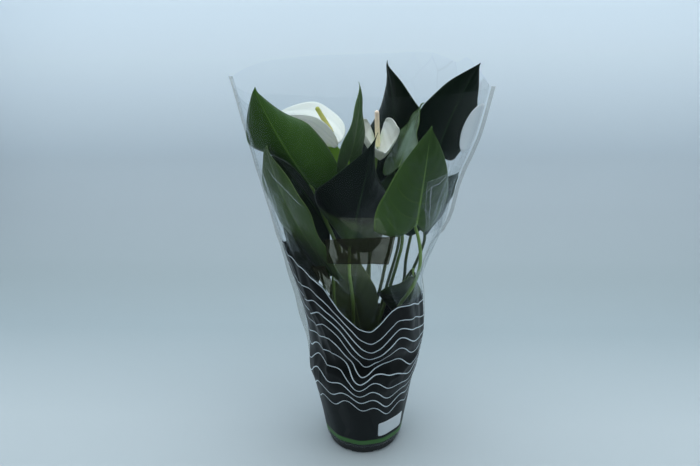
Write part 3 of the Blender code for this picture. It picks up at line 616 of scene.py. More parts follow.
def stalk_material(name, low, high, speck):
    k = Nodes(name)
    a, ln = k.uv()
    pos = k.object_pos()
    sep = k.add("ShaderNodeSeparateXYZ")
    k.put(sep.inputs[0], pos)
    z = sep.outputs[2]
    t = k.ramp(k.math("MULTIPLY", z, 2.0), [(0.30, 0.0), (0.62, 1.0)])
    col = k.mix(t, low, high)
    m = k.add("ShaderNodeMapping")
    k.put(m.inputs["Vector"], pos)
    m.inputs["Scale"].default_value = (1.0, 1.0, 0.12)
    streak = k.noise(m.outputs[0], 420.0, 3.0)
    col = k.mix(k.math("MULTIPLY", streak, 0.45), col, speck)
    spots = k.math("GREATER_THAN", k.noise(pos, 900.0, 2.0), 0.66)
    col = k.mix(k.math("MULTIPLY", spots, 0.25), col, [c * 0.5 for c in speck])
    k.set(Base_Color=col, Roughness=k.math("ADD", 0.34, k.math("MULTIPLY", streak, 0.18)), Normal=k.bump(streak, 0.25, 0.0004))
    return k.mat


m_stalk = stalk_material("m_stalk", srgb(84, 100, 52), srgb(112, 142, 62), srgb(66, 84, 40))
m_stalk_pale = stalk_material("m_stalk_pale", srgb(110, 128, 66), srgb(138, 172, 80), srgb(96, 120, 60))
m_stalk_dark = stalk_material("m_stalk_dark", srgb(66, 78, 46), srgb(78, 98, 52), srgb(46, 58, 34))


def joint_frame(d):
    J, T, N = (np.array(d[k], float) for k in ("joint", "tip", "face"))
    a = unit(T - J)
    n = unit(N - (N @ a) * a)
    return J, a, n


for name, (radius, route) in STALKS.items():
    carried = name.replace("stalk_", "").replace("flower_", "spathe_")
    d = LEAVES.get(carried) or SPATHES[carried]
    J, a, n = joint_frame(d)
    clear = radius * (1 + max(-math.tan(d["fold"]), 0.0)) + 0.0018
    end = J - a * (0.003 + 0.012 * max(-d["fold"], 0.0)) - n * clear
    x, y, _ = route[0]
    pts = [(x, y, SOIL_TOP - 0.004)] + list(route[1:]) + [tuple(end)]
    C = catmull(pts, 46)
    # the stalk runs into the underside of the blade
    tip = J + a * 0.004 - n * 0.0009
    inner = catmull([C[-3], C[-1], tuple(J - a * 0.0005 - n * 0.0016), tuple(tip)], 9)[1:]
    C = np.concatenate([C[:-2], inner])
    s = np.linspace(0, 1, len(C))
    r = radius * (1.18 - 0.32 * s + 0.55 * np.exp(-s / 0.03))
    knee = 0.35 * np.exp(-((s - 0.955) / 0.028) ** 2)
    r = r * (1 + knee)
    r[-7:] = r[-7:] * np.linspace(1.0, 0.30, 7)
    V, F, U = tube(C, r, 12)
    mat = m_stalk_pale if carried in ("leaf_right_front", "leaf_center_dark", "spathe_left") else (
        m_stalk_dark if carried in ("leaf_top_dark", "leaf_top_right", "leaf_right_side", "leaf_back_middle", "leaf_back_right") else m_stalk)
    piece("stem_" + carried.replace("spathe_", "flower_"), V, F, mat, name, U)

# ---------------------------------------------------------------------------
# spadices: tapering spikes covered in small knobs set in spirals
# ---------------------------------------------------------------------------


def spadix_material(name, low, high, dip):
    k = Nodes(name)
    a, ln = k.uv()
    col = k.mix(ln, low, high)
    pos = k.object_pos()
    vor = k.add("ShaderNodeTexVoronoi")
    k.put(vor.inputs["Vector"], pos)
    vor.inputs["Scale"].default_value = 900.0
    col = k.mix(k.math("MULTIPLY", vor.outputs["Distance"], 0.45), col, dip)
    # the faint emission is painted light that lifts the spike out of the bract's shade
    k.set(Base_Color=col, Roughness=0.62, Normal=k.bump(vor.outputs["Distance"], -0.5, 0.0004), Emission_Color=col)
    k.bsdf.inputs["Emission Strength"].default_value = 0.10
    return k.mat


for name, (foot, end) in SPADICES.items():
    foot, end = np.array(foot), np.array(end)
    left = name == "spadix_left"
    mat = spadix_material("m_" + name, srgb(216, 204, 130) if left else srgb(236, 230, 180),
                          srgb(168, 176, 78) if left else srgb(252, 232, 214), srgb(140, 140, 60) if left else srgb(214, 190, 160))
    axis = unit(end - foot)
    L = np.linalg.norm(end - foot)
    X = unit(np.cross(axis, [0, 1, 0.1]))
    Y = np.cross(axis, X)
    rows, cols = 110, 44
    V, UV = [], []
    for i in range(rows + 1):
        t = i / rows
        r = 0.0035 * (1.0 - 0.16 * t) * math.sqrt(max(1 - max((t - 0.93) / 0.07, 0) ** 2, 0.0004)) * (0.86 + 0.14 * min(t / 0.05, 1))
        for j in range(cols):
            a = 2 * math.pi * j / cols
            knob = abs(math.sin(a * 5.5 + t * L * 1500)) * abs(math.sin(a * 5.5 - t * L * 1500))
            rr = r + 0.00022 * knob * min(1.0, r / 0.0015)
            V.append(foot + axis * (t * L) + rr * (math.cos(a) * X + math.sin(a) * Y))
            UV.append((j / cols, t))
    F = grid_faces(rows + 1, cols, wrap=True)
    F.append(tuple(range(cols))[::-1])
    F.append(tuple(rows * cols + j for j in range(cols)))
    # foot sunk into the bract
    for j in range(cols):
        V[j] = V[j] - axis * 0.0025
    piece("spike_" + name[7:], V, F, mat, name, np.array(UV))

# ---------------------------------------------------------------------------
# growing mix
# ---------------------------------------------------------------------------


def soil():
    k = Nodes("m_growing_mix")
    pos = k.object_pos()
    big = k.noise(pos, 120.0, 5.0, 0.7)
    small = k.noise(pos, 700.0, 4.0, 0.7)
    col = k.ramp(big, [(0.30, srgb(26, 20, 16)), (0.52, srgb(58, 44, 34)), (0.72, srgb(92, 74, 56))])
    col = k.mix(k.math("MULTIPLY", small, 0.5), col, srgb(24, 18, 14))
    k.set(Base_Color=col, Roughness=0.92, Normal=k.bump(k.math("ADD", big, k.math("MULTIPLY", small, 0.4)), 0.9, 0.003))
    rings, cols = 46, 90
    V = [(0, 0, SOIL_TOP)]
    pts = []
    for i in range(1, rings + 1):
        r = 0.0735 * (i / rings)
        for j in range(cols):
            a = 2 * math.pi * j / cols
            pts.append((r * math.cos(a), r * math.sin(a), 0.0))
    P = np.array(pts)
    lump = wave_noise(P * 60.0, 3.0) * 0.0022 + wave_noise(P * 190.0, 7.0) * 0.0013 + wave_noise(P * 420.0, 1.0) * 0.0006
    rr = np.hypot(P[:, 0], P[:, 1]) / 0.0738
    P[:, 2] = SOIL_TOP - 0.0035 * rr**2 + lump * (1 - rr**8)
    V = np.concatenate([np.array(V), P])
    F = [(0, 1 + j, 1 + (j + 1) % cols) for j in range(cols)]
    F += [tuple(1 + q for q in f) for f in grid_faces(rings, cols, wrap=True, flip=True)]
    # side and bottom
    k0 = 1 + (rings - 1) * cols
    base = len(V)
    low = [(0.0728, 0.1370), (0.0546, 0.0096), (0.0526, 0.0056)]
    for r, z in low:
        V = np.concatenate([V, np.array([(r * math.cos(2 * math.pi * j / cols), r * math.sin(2 * math.pi * j / cols), z) for j in range(cols)])])
    prev = k0
    for i in range(len(low)):
        cur = base + i * cols
        F += [(prev + j, cur + j, cur + (j + 1) % cols, prev + (j + 1) % cols) for j in range(cols)]
        prev = cur
    V = np.concatenate([V, [(0, 0, 0.0056)]])
    F += [(prev + j, len(V) - 1, prev + (j + 1) % cols) for j in range(cols)]
    o = piece("mix", V, F, k.mat, "growing_mix")

    # crumbs of bark, peat and white grit lying on it
    rng = random.Random(11)
    kb = Nodes("m_bark")
    pos = kb.object_pos()
    nz = kb.noise(pos, 300.0, 4.0, 0.6)
    kb.set(Base_Color=kb.ramp(nz, [(0.3, srgb(40, 28, 20)), (0.7, srgb(108, 82, 58))]), Roughness=0.9, Normal=kb.bump(nz, 0.6, 0.001))
    kg = Nodes("m_grit")
    pos = kg.object_pos()
    nz = kg.noise(pos, 500.0, 3.0, 0.6)
    kg.set(Base_Color=kg.ramp(nz, [(0.3, srgb(170, 168, 160)), (0.7, srgb(214, 212, 204))]), Roughness=0.85, Normal=kg.bump(nz, 0.5, 0.0006))
    V, F, M = [], [], []
    phi = (1 + 5 ** 0.5) / 2
    ico = [(-1, phi, 0), (1, phi, 0), (-1, -phi, 0), (1, -phi, 0), (0, -1, phi), (0, 1, phi), (0, -1, -phi), (0, 1, -phi), (phi, 0, -1), (phi, 0, 1), (-phi, 0, -1), (-phi, 0, 1)]
    icf = [(0, 11, 5), (0, 5, 1), (0, 1, 7), (0, 7, 10), (0, 10, 11), (1, 5, 9), (5, 11, 4), (11, 10, 2), (10, 7, 6), (7, 1, 8), (3, 9, 4), (3, 4, 2), (3, 2, 6), (3, 6, 8), (3, 8, 9), (4, 9, 5), (2, 4, 11), (6, 2, 10), (8, 6, 7), (9, 8, 1)]
    for q in range(620):
        r = 0.070 * math.sqrt(rng.random())
        a = rng.random() * 2 * math.pi
        grit = rng.random() < 0.10
        sx = rng.uniform(0.0010, 0.0030) if not grit else rng.uniform(0.0008, 0.0016)
        sy, sz = sx * rng.uniform(0.4, 1.0), sx * rng.uniform(0.3, 0.7)
        yaw, tilt = rng.random() * 6.28, rng.uniform(-0.5, 0.5)
        zc = SOIL_TOP - 0.0035 * (r / 0.0738) ** 2 + 0.0008
        R = Matrix.Rotation(yaw, 3, "Z") @ Matrix.Rotation(tilt, 3, "X")
        b = len(V)
        for p in ico:
            w = R @ Vector((p[0] * sx / 1.9 * rng.uniform(0.8, 1.15), p[1] * sy / 1.9, p[2] * sz / 1.9))
            V.append((r * math.cos(a) + w.x, r * math.sin(a) + w.y, zc + w.z))
        for f in icf:
            F.append(tuple(b + i for i in f))
            M.append(1 if grit else 0)
    piece("mix_crumbs", V, F, [kb.mat, kg.mat], smooth=False, face_mat=M)


soil()

# ---------------------------------------------------------------------------
# pot: the solid of the frame with a moulded plastic finish
# ---------------------------------------------------------------------------


def pot_finish():
    k = Nodes("m_pot")
    pos = k.object_pos()
    fine = k.noise(pos, 900.0, 3.0, 0.6)
    scuff = k.noise(pos, 35.0, 5.0, 0.65)
    col = k.mix(k.math("MULTIPLY", k.math("SUBTRACT", scuff, 0.45, clamp=True), 1.2), srgb(22, 24, 24), srgb(52, 55, 55))
    k.set(Base_Color=col, Roughness=k.math("ADD", 0.42, k.math("MULTIPLY", scuff, 0.25)), Normal=k.bump(fine, 0.25, 0.0003))
    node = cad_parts["pot"]
    if not node.material_slots:
        node.data.materials.append(k.mat)
    for sl in node.material_slots:
        sl.material = k.mat


pot_finish()

# ---------------------------------------------------------------------------
# film sleeve
# ---------------------------------------------------------------------------
# height, left, right, front, back, squareness of the body between the two welds
SLEEVE = np.array((
    (0.014, -0.0592, 0.0605, -0.0592, 0.0592, 2.0),
    (0.070, -0.0670, 0.0690, -0.0690, 0.0690, 2.0),
    (0.120, -0.0775, 0.0778, -0.0785, 0.0785, 2.0),
    (0.134, -0.0815, 0.0820, -0.0825, 0.0825, 2.0),
    (0.155, -0.0820, 0.0862, -0.0840, 0.0845, 2.0),
    (0.180, -0.0810, 0.0920, -0.0850, 0.0880, 2.1),
    (0.240, -0.0845, 0.0915, -0.0920, 0.0945, 2.5),
    (0.290, -0.0932, 0.0872, -0.0990, 0.0990, 3.0),
    (0.320, -0.0990, 0.0930, -0.1030, 0.1030, 3.2),
    (0.360, -0.1093, 0.1085, -0.1060, 0.1070, 3.2),
    (0.450, -0.1312, 0.1302, -0.1110, 0.1140, 3.2),
    (0.510, -0.1448, 0.1498, -0.1130, 0.1180, 3.2),
    (0.585, -0.1598, 0.1672, -0.1160, 0.1230, 3.2)))
HEM = 0.0145
FILM = 0.00022
RIM_Z = 0.581


def weld_left(z):
    return np.radians(180.0 + 1.0 * sstep(z, 0.20, 0.58))


def weld_right(z):
    return np.radians(7.0 - 22.0 * sstep(z, 0.22, 0.58))


def ang(a, b):
    """Signed difference of two angles."""
    return (a - b + math.pi) % (2 * math.pi) - math.pi


# creases: angle and height at both ends, height of the ridge, width of its flanks
CREASES = [
    (-132.6, 0.4875, -106.0, 0.4300, 0.0026, 0.010),
    (-139.0, 0.4700, -129.0, 0.3600, 0.0030, 0.009),
    (-150.0, 0.5400, -138.0, 0.4000, 0.0026, 0.010),
    (-128.0, 0.4300, -119.0, 0.3350, 0.0024, 0.010),
    (-146.0, 0.3900, -132.0, 0.2500, 0.0026, 0.009),
    (-130.0, 0.3100, -118.0, 0.1900, 0.0026, 0.010),
    (-116.0, 0.3500, -108.0, 0.2500, 0.0016, 0.010),
    (-65.0, 0.4670, -50.7, 0.4764, 0.0024, 0.009),
    (-64.0, 0.4650, -58.0, 0.3700, 0.0028, 0.010),
    (-50.0, 0.4600, -56.0, 0.3500, 0.0028, 0.009),
    (-42.0, 0.4800, -50.0, 0.3600, 0.0028, 0.009),
    (-34.0, 0.4500, -46.0, 0.3300, 0.0028, 0.009),
    (-58.0, 0.4200, -44.0, 0.4000, 0.0020, 0.008),
    (-48.0, 0.3800, -36.0, 0.3450, 0.0024, 0.008),
    (-60.0, 0.3600, -40.0, 0.3000, 0.0026, 0.009),
    (-24.0, 0.4200, -40.0, 0.3000, 0.0024, 0.010),
    (-70.0, 0.3000, -50.0, 0.2500, 0.0014, 0.010),
    (-23.0, 0.1740, -59.0, 0.1517, 0.0028, 0.009),
    (-128.0, 0.1640, -106.0, 0.1566, 0.0024, 0.008),
    (-131.0, 0.2085, -127.0, 0.1638, 0.0030, 0.008),
    (-114.0, 0.2180, -96.0, 0.1700, 0.0026, 0.010),
    (-62.0, 0.2200, -84.0, 0.1700, 0.0024, 0.010),
    (-100.0, 0.5700, -98.0, 0.4900, 0.0008, 0.012),
    (-62.0, 0.5780, -68.0, 0.5000, 0.0012, 0.010),
]


def film_wrinkles(t, z):
    """How far the film stands off its plain form, outwards."""
    d = np.zeros_like(t * z)
    high = sstep(z, 0.16, 0.24)
    # cusps where the two sheets are welded
    for w, amp in ((weld_left(z), 0.006), (weld_right(z), 0.004)):
        d += amp * high * (np.exp(-np.abs(ang(t, w)) / 0.16) - 0.25)
    # slack film: slow folds running up the sleeve
    ph = 1.4 * np.sin(2.1 * t + 3.0 * z) + 6.0 * z
    d += 0.0014 * high * np.sin(9 * t + ph) * (0.45 + 0.55 * np.sin(1.7 * t + 1.0) ** 2)
    d += 0.0008 * high * np.sin(17 * t - 9.0 * z + 2.0 * np.sin(3 * t)) * sstep(0.52 - z, 0.0, 0.2)
    # the film sinks in over the mix, just above the rim of the pot
    over = np.exp(-((z - 0.182) / 0.016) ** 2)
    d -= 0.0080 * over * gauss(ang(t, math.radians(-84)), 0.50)
    d -= 0.0050 * over * gauss(ang(t, math.radians(80)), 0.60)
    d -= 0.0020 * over * (0.5 + 0.5 * np.sin(7 * t + 0.6))
    # small puckers over the rim
    d += 0.0007 * np.exp(-((z - 0.150) / 0.020) ** 2) * np.sin(23 * t + 2 * np.sin(5 * t))
    # down the pot wall the film lies close, with a few slack runs
    d += 0.0005 * sstep(0.14 - z, 0.0, 0.05) * (1 + np.sin(11 * t + 25 * z))
    for a0, z0, a1, z1, amp, wid in CREASES:
        a0, a1 = math.radians(a0), math.radians(a1)
        R = 0.115
        x, y = ang(t, a0) * R, z - z0
        ex, ey = ang(a1, a0) * R, z1 - z0
        L = math.hypot(ex, ey)
        s = (x * ex + y * ey) / L
        q = (x * ey - y * ex) / L
        win = sstep(s, -0.25 * L, 0.15 * L) * (1 - sstep(s, 0.85 * L, 1.25 * L))
        d += amp * win * (np.exp(-np.abs(q) / wid) - 0.30 * np.exp(-((q / (3 * wid)) ** 2)))
    return d


def crumple(P, z):
    """Fine faceted crumpling of the stiff film."""
    q = P * np.array([1.0, 1.0, 0.42])
    a = wave_noise(q * 34.0, 5.0)
    b = wave_noise(q * 75.0, 9.0)
    amt = 0.0008 + 0.0022 * np.exp(-((z - 0.36) / 0.10) ** 2)
    return amt * (0.35 - np.abs(a)) * 1.2 + amt * 0.45 * (0.35 - np.abs(b))


def film_base(t, z, out=0.0):
    c = [smooth_table(z, SLEEVE[:, 0], SLEEVE[:, k]) for k in range(1, 6)]
    cx, cy, A, B, n = (c[0] + c[1]) / 2, (c[2] + c[3]) / 2, (c[1] - c[0]) / 2 + out, (c[3] - c[2]) / 2 + out, c[4]
    co, si = np.cos(t), np.sin(t)
    x = A * np.sign(co) * np.abs(co) ** (2 / n)
    y = B * np.sign(si) * np.abs(si) ** (2 / n)
    return cx, cy, x, y


def rim_height(t):
    """Height of the sleeve's upper edge round the mouth."""
    deg = np.degrees(np.asarray(t, float)) % 360.0
    knots = np.array([0, 19, 33, 41, 54, 65, 86, 121, 167, 197, 232, 244, 266, 284, 318, 343, 360.0])
    vals = np.array([0.577, 0.577, 0.587, 0.579, 0.585, 0.590, 0.588, 0.585, 0.583, 0.582, 0.579, 0.581, 0.579, 0.577, 0.577, 0.576, 0.577])
    return smooth_table(deg, knots, vals)


def film_point(t, z, out=0.0, rough=True):
    """Middle of the film at angle t and height z; out moves it outwards."""
    t, z = np.broadcast_arrays(np.asarray(t, float), np.asarray(z, float))
    shape = t.shape
    t, z = t.ravel(), z.ravel()
    cx, cy, x, y = film_base(t, z)
    r = np.hypot(x, y)
    d = film_wrinkles(t, z)
    ux, uy = x / r, y / r
    P = np.stack([cx + x, cy + y, z], 1)
    if rough:
        d = d + crumple(P, z) * (0.25 + 0.75 * sstep(z, 0.155, 0.22))
    # over the pot it lies on the wall and never sinks into it
    low = 1 - sstep(z, 0.150, 0.172)
    d = d * (1 - low) + np.maximum(d, 0.0) * low + 0.0004 * low
    P[:, 0] += ux * (d + out)
    P[:, 1] += uy * (d + out)
    P[:, 2] += sstep(z, 0.45, RIM_Z) * (rim_height(t) - RIM_Z)
    return P.reshape(shape + (3,))


def print_top(t):
    """Upper edge of the printed part: one slow wave round the sleeve."""
    deg = np.degrees(np.asarray(t, float)) % 360.0          # 270 is the front
    knots = np.array([0, 40, 90, 140, 172, 190, 205, 220, 232, 245, 252, 258, 264, 270, 275, 282, 290, 299, 310, 325, 345, 360.0])
    vals = np.array([0.258, 0.215, 0.190, 0.225, 0.320, 0.362, 0.364, 0.357, 0.350, 0.337, 0.321, 0.301, 0.272, 0.250, 0.247, 0.259, 0.274, 0.282, 0.283, 0.278, 0.262, 0.258])
    return smooth_table(deg, knots, vals)


def film_material(name, fog=0.0010, fog_hi=0.045, glint=0.004, veil_col=(0.62, 0.70, 0.74), see=(0.986, 0.990, 0.992)):
    """Clear stiff film: see-through, flat crumpled facets, mirror-like glints, a faint veil."""
    k = Nodes(name)
    pos = k.object_pos()
    crum = k.add("ShaderNodeAttribute", attribute_name="crumple").outputs["Fac"]
    warp = k.add("ShaderNodeTexNoise")
    k.put(warp.inputs["Vector"], pos)
    warp.inputs["Scale"].default_value = 9.0
    warp.inputs["Detail"].default_value = 2.0
    wv = k.add("ShaderNodeVectorMath", operation="MULTIPLY_ADD")
    k.put(wv.inputs[0], warp.outputs["Color"])
    wv.inputs[1].default_value = (0.05, 0.05, 0.05)
    k.put(wv.inputs[2], pos)
    m = k.add("ShaderNodeMapping")
    k.put(m.inputs["Vector"], wv.outputs[0])
    m.inputs["Scale"].default_value = (1.0, 1.0, 0.34)
    m.inputs["Rotation"].default_value = (0.10, -0.16, 0.0)

    def cells(scale, tilt):
        v = k.add("ShaderNodeTexVoronoi")
        k.put(v.inputs["Vector"], m.outputs[0])
        v.inputs["Scale"].default_value = scale
        c = k.add("ShaderNodeVectorMath", operation="SUBTRACT")
        k.put(c.inputs[0], v.outputs["Color"])
        c.inputs[1].default_value = (0.5, 0.5, 0.5)
        s = k.add("ShaderNodeVectorMath", operation="SCALE")
        k.put(s.inputs[0], c.outputs[0])
        k.put(s.inputs["Scale"], k.math("MULTIPLY", crum, tilt))
        sep = k.add("ShaderNodeSeparateXYZ")
        k.put(sep.inputs[0], v.outputs["Color"])
        return s.outputs[0], sep.outputs[0]

    t1, r1 = cells(30.0, 0.60)
    t2, r2 = cells(74.0, 0.30)
    nrm = k.add("ShaderNodeNewGeometry").outputs["Normal"]
    a = k.add("ShaderNodeVectorMath", operation="ADD")
    k.put(a.inputs[0], nrm)
    k.put(a.inputs[1], t1)
    b = k.add("ShaderNodeVectorMath", operation="ADD")
    k.put(b.inputs[0], a.outputs[0])
    k.put(b.inputs[1], t2)
    nn = k.add("ShaderNodeVectorMath", operation="NORMALIZE")
    k.put(nn.inputs[0], b.outputs[0])
    wav = k.noise(m.outputs[0], 40.0, 3.0, 0.6)
    bump = k.bump(wav, 0.12, 0.004, nn.outputs[0])
    edge = k.add("ShaderNodeTexVoronoi", feature="DISTANCE_TO_EDGE")
    k.put(edge.inputs["Vector"], m.outputs[0])
    edge.inputs["Scale"].default_value = 30.0
    fold = k.math("SUBTRACT", 1.0, k.math("MULTIPLY", edge.outputs["Distance"], 22.0), clamp=True)
    fold = k.math("MULTIPLY", k.math("MULTIPLY", fold, fold), k.math("GREATER_THAN", r1, 0.45))
    clear = k.add("ShaderNodeBsdfTransparent", {"Color": see})
    gl = k.bsdf
    gl.inputs["Base Color"].default_value = (0.90, 0.95, 0.98, 1.0)
    gl.inputs["Metallic"].default_value = 1.0
    gl.inputs["Roughness"].default_value = 0.07
    k.put(gl.inputs["Normal"], bump)
    lw = k.add("ShaderNodeLayerWeight", {"Blend": 0.5})
    k.put(lw.inputs["Normal"], bump)
    face = k.math("POWER", lw.outputs["Facing"], 7.0)
    share = k.math("ADD", glint, k.math("MULTIPLY", face, 0.34), clamp=True)
    veil = k.add("ShaderNodeBsdfDiffuse", {"Color": veil_col, "Roughness": 0.4})
    body = k.add("ShaderNodeMixShader")
    k.put(body.inputs[0], share)
    k.put(body.inputs[1], clear)
    k.put(body.inputs[2], gl.outputs[0])
    patch = k.math("MULTIPLY", k.math("MULTIPLY", r1, r1), crum)
    patch = k.math("ADD", k.math("MULTIPLY", patch, fog_hi), k.math("MULTIPLY", k.math("MULTIPLY", fold, crum), fog_hi * 2.2))
    top = k.add("ShaderNodeMixShader")
    k.put(top.inputs[0], k.math("ADD", patch, fog, clamp=True))
    k.put(top.inputs[1], body.outputs[0])
    k.put(top.inputs[2], veil.outputs[0])
    k.put(k.out.inputs[0], top.outputs[0])
    return k.mat


def ink_material():
    k = Nodes("m_film_ink")
    pos = k.object_pos()
    m = k.add("ShaderNodeMapping")
    k.put(m.inputs["Vector"], pos)
    m.inputs["Scale"].default_value = (1.0, 1.0, 0.4)
    v = k.add("ShaderNodeTexVoronoi")
    k.put(v.inputs["Vector"], m.outputs[0])
    v.inputs["Scale"].default_value = 34.0
    c = k.add("ShaderNodeVectorMath", operation="SUBTRACT")
    k.put(c.inputs[0], v.outputs["Color"])
    c.inputs[1].default_value = (0.5, 0.5, 0.5)
    s = k.add("ShaderNodeVectorMath", operation="SCALE")
    k.put(s.inputs[0], c.outputs[0])
    s.inputs["Scale"].default_value = 0.10
    a = k.add("ShaderNodeVectorMath", operation="ADD")
    k.put(a.inputs[0], k.add("ShaderNodeNewGeometry").outputs["Normal"])
    k.put(a.inputs[1], s.outputs[0])
    nn = k.add("ShaderNodeVectorMath", operation="NORMALIZE")
    k.put(nn.inputs[0], a.outputs[0])
    big = k.noise(m.outputs[0], 30.0, 4.0, 0.6)
    fine = k.noise(pos, 320.0, 3.0, 0.6)
    sep = k.add("ShaderNodeSeparateXYZ")
    k.put(sep.inputs[0], pos)
    low = k.ramp(sep.outputs[2], [(0.05, 1.0), (0.19, 0.0)])
    col = k.mix(k.math("MULTIPLY", big, 0.7), k.mix(low, srgb(11, 13, 13), srgb(23, 28, 29)), k.mix(low, srgb(20, 23, 23), srgb(32, 38, 39)))
    col = k.mix(k.math("MULTIPLY", fine, 0.25), col, srgb(10, 11, 12))
    k.set(Base_Color=col, Roughness=k.math("ADD", 0.30, k.math("MULTIPLY", big, 0.20)),
          Normal=k.bump(k.math("ADD", big, k.math("MULTIPLY", fine, 0.1)), 0.12, 0.003, nn.outputs[0]))
    k.bsdf.inputs["Specular IOR Level"].default_value = 0.13
    return k.mat


def plain_ink(name, col, dark, rough=0.35):
    k = Nodes(name)
    pos = k.object_pos()
    n1 = k.noise(pos, 60.0, 3.0)
    n2 = k.noise(pos, 700.0, 2.0)
    c = k.mix(k.math("MULTIPLY", n1, 0.35), col, dark)
    c = k.mix(k.math("MULTIPLY", n2, 0.12), c, dark)
    k.set(Base_Color=c, Roughness=k.math("ADD", rough, k.math("MULTIPLY", n1, 0.15)))
    return k.mat


m_film = film_material("m_film_clear")
m_weld = film_material("m_film_weld", fog=0.20, fog_hi=0.05, glint=0.01, veil_col=(0.54, 0.54, 0.51), see=(0.95, 0.95, 0.94))
m_pleat = film_material("m_film_pleat", fog=0.050, fog_hi=0.05, glint=0.004, veil_col=(0.60, 0.68, 0.70))
# painted highlight: a whitish veil for strips drawn where folds catch the light
m_painted_glint = film_material("m_film_painted_glint", fog=0.24, fog_hi=0.10, glint=0.02, veil_col=(0.78, 0.86, 0.90), see=(0.97, 0.97, 0.97))
m_dull = film_material("m_film_dull", fog=0.042, fog_hi=0.04, glint=0.003, veil_col=(0.60, 0.62, 0.44))
# painted shade: a dark tinted film for patches that stand in for shaded leaves and stalks
m_painted_shade = film_material("m_film_painted_shade", fog=0.045, fog_hi=0.03, glint=0.003, veil_col=(0.42, 0.42, 0.30), see=(0.48, 0.47, 0.42))
m_ink = ink_material()
m_line = plain_ink("m_ink_pale", srgb(226, 238, 244), srgb(190, 206, 214))
m_green = plain_ink("m_ink_green", srgb(58, 116, 42), srgb(36, 84, 32))
m_white = plain_ink("m_label_white", srgb(226, 232, 236), srgb(200, 208, 214), 0.45)

NT = 330
T = np.linspace(0, 2 * math.pi, NT, endpoint=False)


def crumple_share(t, z):
    """How crumpled the film is: flanks, waist and the fold over the pot most, the front of the mouth least."""
    left = gauss(ang(t, math.radians(-140)), 0.34) * sstep(0.53 - z, 0.0, 0.10)
    right = 0.55 * gauss(ang(t, math.radians(-42)), 0.36) * sstep(0.53 - z, 0.0, 0.06)
    waist = 0.45 * np.exp(-((z - 0.33) / 0.07) ** 2)
    back = 0.35 * gauss(ang(t, math.radians(90)), 0.8) * sstep(0.55 - z, 0.0, 0.1)
    mouth = 0.30 * gauss(ang(t, math.radians(50)), 0.30) * sstep(z, 0.45, 0.55)
    return np.clip(0.05 + 0.95 * left + 1.0 * right + waist + back + mouth, 0.0, 1.0)


def mark(o, t, z, wrap_cols):
    """Store the crumpled share on the points of a film piece (both of its faces)."""
    c = crumple_share(t, z).ravel()
    c = np.concatenate([c, c])
    a = o.data.attributes.new("crumple", "FLOAT", "POINT")
    a.data.foreach_set("value", c.astype(np.float32))


def sleeve_film():
    B = print_top(T)
    # clear part, from the edge of the print to the mouth
    rows = 104
    k = np.linspace(0, 1, rows + 1)[:, None]
    z = B[None, :] * (1 - k) + RIM_Z * k
    t = np.broadcast_to(T, z.shape)
    V, F, _, n = closed_sheet(film_point(t, z), FILM, wrap=True)
    clear = piece("film_clear", V, F, m_film, "film_sleeve")
    mark(clear, t, z, NT)
    # printed part
    rows = 110
    k = np.linspace(0, 1, rows + 1)[:, None]
    stripe_top = 0.0305
    z = stripe_top * (1 - k) + B[None, :] * k
    P = film_point(np.broadcast_to(T, z.shape), z)
    V, F, _, _ = closed_sheet(P, FILM, wrap=True)
    ink = piece("film_printed", V, F, m_ink)
    # green band and the clear hem under it
    k = np.linspace(0, 1, 7)[:, None]
    z = 0.0215 * (1 - k) + stripe_top * k + 0 * T[None, :]
    V, F, _, _ = closed_sheet(film_point(np.broadcast_to(T, z.shape), z), FILM, wrap=True)
    band = piece("film_band", V, F, m_green)
    z = HEM * (1 - k) + 0.0215 * k + 0 * T[None, :]
    V, F, _, _ = closed_sheet(film_point(np.broadcast_to(T, z.shape), z), FILM, wrap=True)
    hem = piece("film_hem", V, F, m_hem)
    return clear, ink, band, hem


# pleats: crisp patches where the stiff film is folded over itself, as angle in degrees and height of four corners
PLEATS = [
    ((-59.0, 0.470), (-38.0, 0.478), (-24.0, 0.392), (-50.0, 0.394)),
    ((-36.0, 0.484), (-16.0, 0.470), (-22.0, 0.372), (-31.0, 0.384)),
    ((-145.0, 0.508), (-137.0, 0.508), (-146.0, 0.470), (-150.0, 0.478)),
    ((-141.0, 0.446), (-131.0, 0.452), (-122.0, 0.372), (-134.0, 0.366)),
    ((-178.0, 0.574), (-137.0, 0.566), (-154.0, 0.517), (-168.0, 0.502)),
    ((-168.0, 0.500), (-152.0, 0.513), (-164.0, 0.462), (-172.0, 0.440)),
]
# painted shade: the same pleats drawn warmer and duller where the leaves shade them
DULL_PLEATS = [
    ((-93.5, 0.424), (-84.0, 0.424), (-76.0, 0.378), (-88.5, 0.397)),
    ((-95.0, 0.374), (-79.0, 0.377), (-77.0, 0.318), (-98.0, 0.352)),
]
# painted shade: dark tinted patches on the film that stand in for the shaded tangle of leaves and stalks behind it
PAINTED_SHADE_PATCHES = [((-101.0, 0.392), (-75.5, 0.399), (-77.5, 0.357), (-101.5, 0.357)), ((-113.5, 0.351), (-103.0, 0.352), (-99.5, 0.332), (-107.0, 0.324)),
                 ((-107.0, 0.324), (-99.5, 0.332), (-101.0, 0.308), (-103.0, 0.310))]
